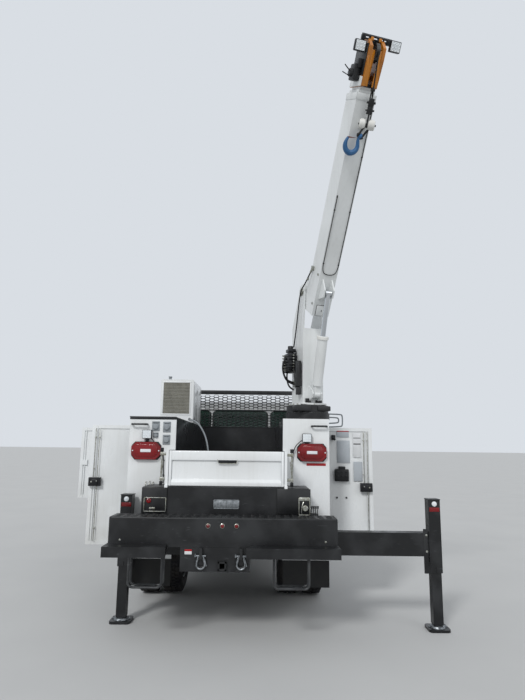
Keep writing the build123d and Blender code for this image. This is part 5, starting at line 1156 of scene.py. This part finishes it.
add_stud(cover_edge, (-0.10, 0.0, (base_low - 0.012, base_low)), 0.008, 6, round_mm=1)
finish_pieces([(cover_edge, "boom_end_gasket", hose_rubber), (cover, "boom_end_cover", crane_enamel)], "boom_base",
              boom_place)

# %% [markdown]
# ## Hook
# The hook hangs stowed under the boom: a wire rope with its dead end clamped beside it, a black swivel, two white
# rollers that keep it off the boom, two links and a forged blue hook with a spring latch. The hook is a pipe whose
# thickness changes along its line, which is how a forging swells in its bowl.

# %% Rope, swivel, rollers and links
rope_line = -0.495
greased_rope = worked_metal("greased_wire_rope", "2B2B2C", "4A4845", 0.5, 0.2, 0.008)
block_turn = Matrix.Rotation(math.radians(-23.4), 4, "X")
block_place = boom_place @ Matrix.Translation((2.030, 0.038, rope_line)) @ block_turn
rope, swivel, rollers_white, links = new_meshes(4)
add_rod(rope, (2.270, 0.036, rope_line), (2.725, 0, rope_line), 0.008, 12)
add_rod(rope, (2.270, 0.012, rope_line + 0.004), (2.390, 0.018, rope_line + 0.002), 0.007, 10)
add_box(rope, (2.352, 0.006, rope_line - 0.016), (2.378, 0.044, rope_line + 0.018), 3)
add_box(swivel, (0.175, -0.032, -0.030), (0.255, 0.028, 0.030), 8)
add_stud(swivel, ((0.100, 0.180), 0, 0), 0.034, 24, 0.028, 6)
add_stud(swivel, (0.215, (-0.050, 0.046), 0), 0.012, 12, round_mm=2)
add_stud(swivel, (0.140, (-0.048, 0.048), 0), 0.011, 6, round_mm=2)
add_box(swivel, (-0.030, -0.009, -0.046), (0.115, 0.009, 0.046), 4)
for y_from, y_to in ((-0.080, -0.014), (0.012, 0.086)):
    middle = (y_from + y_to) / 2
    wide = (y_to - y_from) / 2
    add_turned(rollers_white, [(middle - wide, 0.0), (middle - wide, 0.044), (middle - wide + 0.008, 0.052),
                               (middle, 0.055), (middle + wide - 0.008, 0.052), (middle + wide, 0.044),
                               (middle + wide, 0.0)], (0, 0, 0), (0, 1, 0), 32)
add_stud(swivel, (0, (-0.092, 0.098), 0), 0.012, 6, round_mm=2)
hook_place = boom_place @ Matrix.Translation((1.905, -0.012, rope_line)) @ Matrix.Rotation(math.radians(30.6), 4, "Z")
for side in (-1, 1):
    add_plate(links, [(-0.016, side * 0.020, -0.018), (0.128, side * 0.022, -0.026), (0.150, side * 0.022, 0.0),
                      (0.128, side * 0.022, 0.026), (-0.016, side * 0.020, 0.018), (-0.026, side * 0.020, 0.0)],
              (0, side * 0.010, 0), 2)
for s in (0.118, 0.0):
    add_stud(links, (s, (-0.042, 0.042), 0), 0.011, 12, round_mm=2)
finish_piece(rope, "hook_rope", greased_rope, "boom_tip", boom_place, slot="black_paint")
swivel_piece = finish_piece(swivel, "hook_swivel", black_coat, "boom_tip", block_place)
finish_piece(rollers_white, "hook_rollers", white_plastic, "boom_tip", block_place)
finish_piece(links, "hook_links", cast_iron, "boom_tip", hook_place, slot="black_paint")
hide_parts("hook_block")

# %% Hook and latch
hook_points = [
    # along, across, thickness against the shank's radius
    (0.010, 0.000, 0.9), (-0.035, 0.002, 1.0), (-0.062, 0.026, 1.15), (-0.100, 0.058, 1.4), (-0.150, 0.064, 1.7),
    (-0.196, 0.034, 1.85), (-0.208, -0.018, 1.8), (-0.182, -0.068, 1.5), (-0.132, -0.094, 1.15),
    (-0.092, -0.098, 0.75),
]
hook, latch = new_meshes(2)
add_pipe(hook, [(s, y, 0) for s, y, _ in hook_points], 0.017, 16, 3, [thick for _, _, thick in hook_points])
add_turned(hook, [(-0.016, 0.012), (-0.016, 0.026), (0.0, 0.033), (0.016, 0.026), (0.016, 0.012), (-0.016, 0.012)],
           (0, 0, 0), (0, 1, 0), 24)
add_plate(latch, [(-0.036, -0.016, -0.010), (-0.030, -0.006, -0.010), (-0.088, -0.108, -0.010),
                  (-0.104, -0.102, -0.010)], (0, 0, 0.020), 2)
red_oxide = powder_coat("red_oxide_primer", "6B2A1E", "8A5A48", 0.55)
finish_piece(hook, "crane_hook", blue_enamel, "boom_tip", hook_place)
finish_piece(latch, "hook_latch", red_oxide, "boom_tip", hook_place, slot="red_lens")

# %% [markdown]
# ## Rear windows, lips and cables
# The cab's back wall has three dark windows in rubber gaskets, which show through the screen. The street-side
# compartments end in a black rolled lip, and each work lamp has a cable that drops to the bench.


# %% Rear windows
def rounded_corners(x0, x1, z0, z1, radius, y, steps=4):
    """The outline of a panel with round corners, in a plane across the truck."""
    points = []
    for corner_x, corner_z, first in ((x1 - radius, z1 - radius, 0), (x0 + radius, z1 - radius, 90),
                                      (x0 + radius, z0 + radius, 180), (x1 - radius, z0 + radius, 270)):
        for k in range(steps + 1):
            turn = math.radians(first + 90 * k / steps)
            points.append((corner_x + radius * math.cos(turn), y, corner_z + radius * math.sin(turn)))
    return points


cab_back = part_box("cab")[0].y
window_top, window_foot = 2.560, 1.960
gaskets, panes, wall_patch = new_meshes(3)
add_box(wall_patch, (-0.940, cab_back - 0.003, 1.840), (0.940, cab_back + 0.002, 2.620), 2)
for x0, x1 in ((-0.905, -0.548), (-0.502, 0.500), (0.564, 0.905)):
    add_plate(gaskets, rounded_corners(x0 - 0.012, x1 + 0.012, window_foot - 0.012, window_top + 0.012, 0.070,
                                       cab_back - 0.003), (0, -0.007, 0))
    add_plate(panes, rounded_corners(x0, x1, window_foot, window_top, 0.060, cab_back - 0.0095), (0, -0.003, 0))
finish_pieces([(wall_patch, "cab_back_panel", white_enamel), (gaskets, "rear_window_gaskets", hose_rubber),
               (panes, "rear_window_panes", tinted_glass)])

# %% Rolled lip, work lamp cables, red strip, hooks and guide rails
lip, cables, strip, hooks, rails = new_meshes(5)
add_box(lip, (-1.200, face_y - 0.006, box_top - 0.030), (-bay_wall_x, face_y + 0.020, box_top + 0.006), 4)
add_box(lip, (-1.206, face_y - 0.004, box_top - 0.002), (-1.180, 0.725, box_top + 0.006), 3)
for route in ([(0.875, face_y - 0.03, 2.005), (0.80, face_y - 0.045, 1.96), (0.762, face_y - 0.025, 1.86),
               (0.755, face_y - 0.008, 1.70), (0.752, face_y - 0.007, 1.49)],
              [(-0.93, face_y - 0.03, 2.005), (-0.86, face_y - 0.045, 1.93), (-0.80, face_y - 0.025, 1.90),
               (-0.775, face_y - 0.008, 1.80), (-0.77, face_y - 0.007, 1.485)]):
    add_pipe(cables, route, 0.006, 8)
for x, z in ((0.755, 1.70), (0.752, 1.55), (-0.774, 1.75), (-0.771, 1.58)):
    add_box(cables, (x - 0.011, face_y - 0.016, z - 0.005), (x + 0.011, face_y + 0.001, z + 0.005), 2)
add_box(strip, (0.923, face_y - 0.003, 1.706), (1.152, face_y + 0.001, 1.736), 1)
for x, z, drop in ((-0.968, 1.500, 0.060), (-0.925, 1.505, 0.085), (-0.885, 1.498, 0.070)):
    add_pipe(hooks, [(x, face_y + 0.004, z), (x, face_y - 0.030, z), (x, face_y - 0.045, z - drop * 0.5),
                     (x, face_y - 0.035, z - drop), (x, face_y - 0.055, z - drop - 0.012),
                     (x, face_y - 0.072, z - drop + 0.012)], 0.005, 8)
rail_y = -1.9345
for top_x, top_z, end_z in ((1.462, 2.362, 2.215), (1.412, 2.318, 2.262)):
    low_x = 1.120 if top_x > 1.43 else 1.160
    add_pipe(rails, [(low_x, rail_y, box_top - 0.002), (low_x, rail_y, top_z - 0.02), (low_x + 0.02, rail_y, top_z),
                     (top_x - 0.02, rail_y, top_z), (top_x, rail_y, top_z - 0.02), (top_x, rail_y, end_z),
                     (top_x - 0.02, rail_y, end_z - 0.02), (1.195, rail_y, end_z - 0.025)], 0.009)
finish_pieces([(lip, "compartment_lip", black_coat), (cables, "work_lamp_cables", hose_rubber),
               (strip, "red_strip", red_vinyl), (hooks, "tie_hooks", zinc_plate),
               (rails, "hose_guide_rails", grey_plastic)])

# %% [markdown]
# ## Compartments inside, handles and small steel parts
# An open compartment shows painted shelves with a folded lip and a bulb seal round its opening. Each door has a
# paddle handle in a dished escutcheon near its free edge. Bow shackles hang through the two rings of the cross
# plate, and the curb-side jack has a lock plate with two pins.

# %% Seals and shelves of the open compartments
shelf_inner, shelf_outer = 0.660, 1.020
seals, shelves = new_meshes(2)
for side, y0, y1, z0, z1, heights in ((-1, -2.585, -1.955, 0.675, 2.185, (1.08, 1.46, 1.84)),
                                      (-1, -1.925, -0.775, 1.135, 2.185, (1.50, 1.84)),
                                      (1, -2.585, -1.955, 0.675, 2.185, (1.20, 1.62))):
    x0, x1 = side * 1.139, side * 1.149
    for box in (((y0, z1 - 0.012), (y1, z1 + 0.004)), ((y0, z0 - 0.004), (y1, z0 + 0.012)),
                ((y0 - 0.004, z0), (y0 + 0.004, z1)), ((y1 - 0.012, z0), (y1 + 0.004, z1))):
        add_box(seals, (x0, box[0][0], box[0][1]), (x1, box[1][0], box[1][1]), 4)
    for z in heights:
        add_box(shelves, (side * shelf_inner, y0 + 0.012, z - 0.003), (side * shelf_outer, y1 - 0.012, z), 1)
        add_box(shelves, (side * 1.016, y0 + 0.012, z - 0.003), (side * shelf_outer, y1 - 0.012, z + 0.040), 1)
finish_pieces([(seals, "compartment_seals", hose_rubber), (shelves, "compartment_shelves", white_enamel)])

# %% Door handles
for word, side in (("left", -1), ("right", 1)):
    for bay in ("rear", "middle", "front"):
        name = f"{word}_{bay}_door"
        low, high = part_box(name)
        z = low.z + (high.z - low.z) * 0.42
        dish, paddle = new_meshes(2)
        if high.x - low.x < 0.2:
            x = side * max(abs(low.x), abs(high.x))
            y = low.y + 0.110
            add_box(dish, (x, y - 0.062, z - 0.075), (x + side * 0.004, y + 0.062, z + 0.075), 8)
            add_box(paddle, (x, y - 0.040, z - 0.048), (x + side * 0.014, y + 0.040, z + 0.030), 6)
            add_stud(paddle, ((x, x + side * 0.008), y, z - 0.060), 0.009, 14, round_mm=2)
        else:
            x = (low.x if side < 0 else high.x) - side * 0.110
            add_box(dish, (x - 0.062, high.y - 0.001, z - 0.075), (x + 0.062, high.y + 0.004, z + 0.075), 8)
            add_box(paddle, (x - 0.040, high.y, z - 0.048), (x + 0.040, high.y + 0.014, z + 0.030), 6)
            add_stud(paddle, (x, (high.y, high.y + 0.008), z - 0.060), 0.009, 14, round_mm=2)
        finish_pieces([(dish, f"{name}_dish", black_plastic), (paddle, f"{name}_paddle", chrome)], name)

# %% Shackles, lock plate, and the conduit from the power unit
bows, lock, lock_pins, conduit, cap = new_meshes(5)
for x in (-0.217, 0.190):
    y, z, wide = bench_y - 0.029, 0.762, 0.044
    add_pipe(bows, [(x - 0.024, y, z + 0.070), (x - 0.030, y, z + 0.030), (x - wide, y, z),
                    (x - wide * 0.9, y, z - 0.040), (x, y, z - 0.066), (x + wide * 0.9, y, z - 0.040),
                    (x + wide, y, z), (x + 0.030, y, z + 0.030), (x + 0.024, y, z + 0.070)], 0.0105, 12)
    add_stud(bows, ((x - 0.048, x + 0.052), y, z + 0.066), 0.010, 14, round_mm=2)
    add_stud(bows, ((x - 0.062, x - 0.046), y, z + 0.066), 0.018, 6, round_mm=3)
    add_rod(bows, (x + 0.038, y - 0.004, z + 0.040), (x + 0.060, y - 0.014, z - 0.030), 0.004, 8)
jack_low, jack_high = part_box("right_leg")
jack_y = (jack_low.y + jack_high.y) / 2
add_box(lock, (2.176, jack_y - 0.073, 0.585), (2.246, jack_y - 0.056, 1.050), 4)
for z in (0.985, 0.815):
    add_stud(lock_pins, (2.206, (jack_y - 0.082, jack_y - 0.070), z), 0.012, 14, round_mm=3)
add_pipe(conduit, [(-0.700, unit_low.y + 0.004, 2.320), (-0.690, unit_low.y - 0.060, 2.315),
                   (-0.600, unit_low.y - 0.130, 2.290), (-0.500, unit_low.y - 0.220, 2.200),
                   (-0.400, unit_low.y - 0.330, 2.020), (-0.350, unit_low.y - 0.440, 1.760),
                   (-0.400, unit_low.y - 0.520, 1.440), (-0.560, unit_low.y - 0.545, 1.230),
                   (-0.638, unit_low.y - 0.545, 1.210)], 0.012)
add_stud(cap, ((unit_high.x - 0.002, unit_high.x + 0.012), unit_low.y + 0.100, 2.325), 0.030, 24, round_mm=4)
add_stud(cap, (-0.700, (unit_low.y - 0.012, unit_low.y + 0.002), 2.320), 0.020, 6, round_mm=2)
finish_piece(bows, "bow_shackles", galvanised)
finish_pieces([(lock, "right_jack_lock_plate", black_coat), (lock_pins, "right_jack_lock_pins", zinc_plate)],
              "right_beam")
finish_pieces([(conduit, "power_unit_conduit", grey_plastic), (cap, "power_unit_cap", black_plastic)])

# %% [markdown]
# ## Cab trim
# The photo shows the truck from behind, so the cab's front follows the type: rubber round every window, two wiper
# arms parked on the windshield, five amber markers on the roof, black pull handles, chrome round the grille and
# headlamps, and mirror glass that looks back along the doors.

# %% Windshield, wipers and roof markers
screen_rise, screen_run = 1.030, 0.330
slope = math.atan2(screen_rise, screen_run)
screen_up, screen_out = Vector((0, -math.cos(slope), math.sin(slope))), Vector((0, math.sin(slope), math.cos(slope)))
screen_axes = Matrix((Vector((-1, 0, 0)), screen_up, screen_out)).transposed().to_4x4()
screen_place = Matrix.Translation((0, 2.290, 2.235)) @ screen_axes
gasket, wipers, markers, marker_bases = new_meshes(4)
loop = [(x, z, 0.001) for x, _, z in rounded_corners(-0.880, 0.880, -0.390, 0.390, 0.060, 0)]
add_pipe(gasket, loop + loop[:2], 0.011, 8)
for x in (-0.12, 0.66):
    add_stud(wipers, (x, -0.425, (0.004, 0.030)), 0.016, 14, round_mm=3)
    add_pipe(wipers, [(x, -0.425, 0.026), (x - 0.10, -0.395, 0.026), (x - 0.34, -0.330, 0.014)], 0.007, 8)
    add_box(wipers, (-0.30, -0.006, -0.010), (0.30, 0.006, 0.008), 2,
            Matrix.Translation((x - 0.34, -0.330, 0.004)) @ Matrix.Rotation(math.radians(-8), 4, "Z"))
for x in (-0.640, -0.170, 0.0, 0.170, 0.640):
    add_box(marker_bases, (x - 0.055, 1.975, 2.742), (x + 0.055, 2.065, 2.754), 4)
    add_box(markers, (x - 0.046, 1.985, 2.750), (x + 0.046, 2.058, 2.776), 9)
finish_pieces([(gasket, "windshield_gasket", hose_rubber), (wipers, "wipers", black_plastic)], place=screen_place)
finish_pieces([(markers, "roof_markers", amber_lens), (marker_bases, "roof_marker_bases", black_plastic)])

# %% Cab doors: gaskets, pull handles and mirror glass
mirror_rear, mirror_foot, mirror_top = 2.1775, 1.790, 2.270
for word, side in (("left", -1), ("right", 1)):
    gasket, handle, glass = new_meshes(3)
    corners = [(1.270, 1.905), (2.258, 1.905), (2.046, 2.545), (1.270, 2.545), (1.270, 1.905), (1.60, 1.905)]
    add_pipe(gasket, [(side * 1.001, y, z) for y, z in corners], 0.009, 8, 2)
    add_box(handle, (side * 0.998, 1.232, 1.660), (side * 1.004, 1.402, 1.735), 10)
    add_pipe(handle, [(side * 1.002, 1.252, 1.705), (side * 1.028, 1.262, 1.705), (side * 1.028, 1.370, 1.705),
                      (side * 1.002, 1.384, 1.705)], 0.010)
    add_stud(handle, ((side * 1.002, side * 1.008), 1.385, 1.676), 0.011, 14, round_mm=2)
    for z_from, z_to in ((mirror_foot + 0.150, mirror_top - 0.012), (mirror_foot + 0.012, mirror_foot + 0.138)):
        add_box(glass, (side * 1.102, mirror_rear - 0.003, z_from), (side * 1.278, mirror_rear + 0.002, z_to), 3)
    finish_pieces([(gasket, f"{word}_door_window_gasket", hose_rubber), (handle, f"{word}_door_pull", black_plastic),
                   (glass, f"{word}_mirror_glass", chrome)], f"{word}_cab_door")

# %% Skins over the front of the fender tops
skin_rear, skin_front = 4.004, 4.118
skins = bmesh.new()
for side in (-1, 1):
    inner, outer = side * 0.600, side * 1.158
    add_plate(skins, [(inner, skin_rear, 1.1252), (outer, skin_rear, 1.1252), (outer, skin_front, 1.0960),
                      (inner, skin_front, 1.0960)], (0, 0, -0.005))
finish_piece(skins, "fender_top_skins", white_enamel, "hood")

# %% Grille surround and headlamps
headlamp_x, lamp_middle_z = 0.870, 0.985
surround, cores, lamp_bodies, lamp_fronts, turn_lamps = new_meshes(5)
add_bars(surround, [((-0.450, 1.380), (0.450, 1.402)), ((-0.450, 0.978), (0.450, 1.000)),
                    ((-0.450, 1.0), (-0.430, 1.380)), ((0.430, 1.0), (0.450, 1.380))], 4.120, 4.176, 5)
add_box(cores, (-0.425, 4.085, 1.004), (0.425, 4.100, 1.376), 2)
for i in range(44):
    x = -0.415 + 0.830 * i / 43
    add_box(cores, (x - 0.002, 4.098, 1.006), (x + 0.002, 4.112, 1.374), 0.3)
for side in (-1, 1):
    x = side * headlamp_x
    for dx in (-0.064, 0.064):
        add_turned(lamp_bodies, [(-0.004, 0.058), (-0.014, 0.056), (-0.036, 0.030), (-0.038, 0.0)],
                   (x + dx, 4.1465, lamp_middle_z), (0, 1, 0), 28)
        add_turned(lamp_fronts, [(0.0, 0.057), (0.004, 0.052), (0.009, 0.030), (0.010, 0.0)],
                   (x + dx, 4.1435, lamp_middle_z), (0, 1, 0), 28)
    for x_from, x_to, z_from, z_to in ((-0.132, 0.132, 0.066, 0.078), (-0.132, 0.132, -0.078, -0.066),
                                       (-0.136, -0.124, -0.078, 0.078), (0.124, 0.136, -0.078, 0.078)):
        add_box(surround, (x + x_from, 4.110, lamp_middle_z + z_from), (x + x_to, 4.158, lamp_middle_z + z_to), 4)
    add_box(turn_lamps, (x - 0.105, 4.112, 0.842), (x + 0.105, 4.128, 0.892), 8)
finish_piece(surround, "grille_surround", chrome, "hood")
finish_piece(cores, "radiator_core", cast_iron)
finish_piece(lamp_bodies, "headlamp_reflectors", chrome, "hood")
finish_piece(lamp_fronts, "headlamp_lenses", lamp_lens, "hood", slot="glass")
finish_piece(turn_lamps, "turn_lamps", amber_lens, "hood")

# %% [markdown]
# ## Chassis details
# Each rear brake has its air chamber and push rod, the cab steps have raised grip bars, and the fuel tank has a
# filler cap.

# %% Brake chambers, step bars and tank cap
push_rods, chambers, bars, tank_trim = new_meshes(4)
rear_axle = joints["right_rear_wheels_roll"]["pos_m"]
low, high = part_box("side_tanks")
for side in (-1, 1):
    x = side * 0.470
    add_stud(chambers, (x, (rear_axle[1] + 0.120, rear_axle[1] + 0.270), 0.640), 0.078, 28, round_mm=10)
    add_stud(chambers, (x, (rear_axle[1] + 0.190, rear_axle[1] + 0.206), 0.640), 0.088, 28, round_mm=3)
    add_rod(push_rods, (x, rear_axle[1] + 0.030, 0.625), (x, rear_axle[1] + 0.125, 0.640), 0.010, 10)
    for z in (0.5255, 0.8755):
        for i in range(9):
            y = low.y + 0.365 + 0.060 * i
            add_box(bars, (side * 1.096, y, z - 0.001), (side * 1.154, y + 0.018, z + 0.004), 1)
add_stud(tank_trim, (-0.900, low.y + 0.180, (high.z - 0.004, high.z + 0.026)), 0.052, 28, round_mm=6)
finish_pieces([(push_rods, "brake_push_rods", zinc_plate), (chambers, "brake_chambers", cast_iron),
               (bars, "step_grip_bars", aluminium), (tank_trim, "tank_cap", black_plastic)])

# %% Stage
floor_half = 420
floor_mesh = bpy.data.meshes.new("floor")
bm = bmesh.new()
bmesh.ops.create_grid(bm, x_segments=1, y_segments=1, size=floor_half)
bm.to_mesh(floor_mesh)
bm.free()
floor = bpy.data.objects.new("floor", floor_mesh)
bpy.context.scene.collection.objects.link(floor)
floor_paint, tree, shader, place = new_finish("studio_floor", 0.75)
patches = mottle(tree, place, 1.2, 4.0)
tree.links.new(between(tree, scaled(tree, patches, 0.3), "BFC0BF", "B4B5B5"), shader.inputs["Base Color"])
grit = add_node(tree, "ShaderNodeTexNoise", {"Scale": 60.0, "Detail": 3.0}, {"Vector": place}).outputs[0]
relief(tree, shader, grit, 0.002, 0.3)
floor_mesh.materials.append(floor_paint)
floor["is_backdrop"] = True

# %% Light
world = bpy.data.worlds.new("studio")
bpy.context.scene.world = world
world.use_nodes = True
tree = world.node_tree
tree.nodes.clear()
path = add_node(tree, "ShaderNodeLightPath").outputs
seen = add_node(tree, "ShaderNodeMath", {"operation": "MAXIMUM"},
                {0: path["Is Camera Ray"], 1: path["Is Glossy Ray"]}).outputs[0]
seen = add_node(tree, "ShaderNodeMath", {"operation": "MAXIMUM"},
                {0: seen, 1: path["Is Transmission Ray"]}).outputs[0]
soft = add_node(tree, "ShaderNodeBackground", {"Color": linear("F2F5FA"), "Strength": 0.62}).outputs[0]
pale = add_node(tree, "ShaderNodeBackground", {"Color": linear("D9DEE4"), "Strength": 1.0}).outputs[0]
mixed = add_node(tree, "ShaderNodeMixShader", {}, {0: seen, 1: soft, 2: pale}).outputs[0]
add_node(tree, "ShaderNodeOutputWorld", {}, {"Surface": mixed})
for name, turn, strength, spread in (("key", (52, 8, -32), 1.5, 12), ("fill", (60, 0, 40), 0.45, 40)):
    light = bpy.data.lights.new(name, "SUN")
    light.energy = strength
    light.angle = math.radians(spread)
    lamp = bpy.data.objects.new(name, light)
    lamp.rotation_euler = [math.radians(v) for v in turn]
    bpy.context.scene.collection.objects.link(lamp)
bpy.context.scene.view_settings.view_transform = "Standard"

# %% Sizes
low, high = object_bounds()
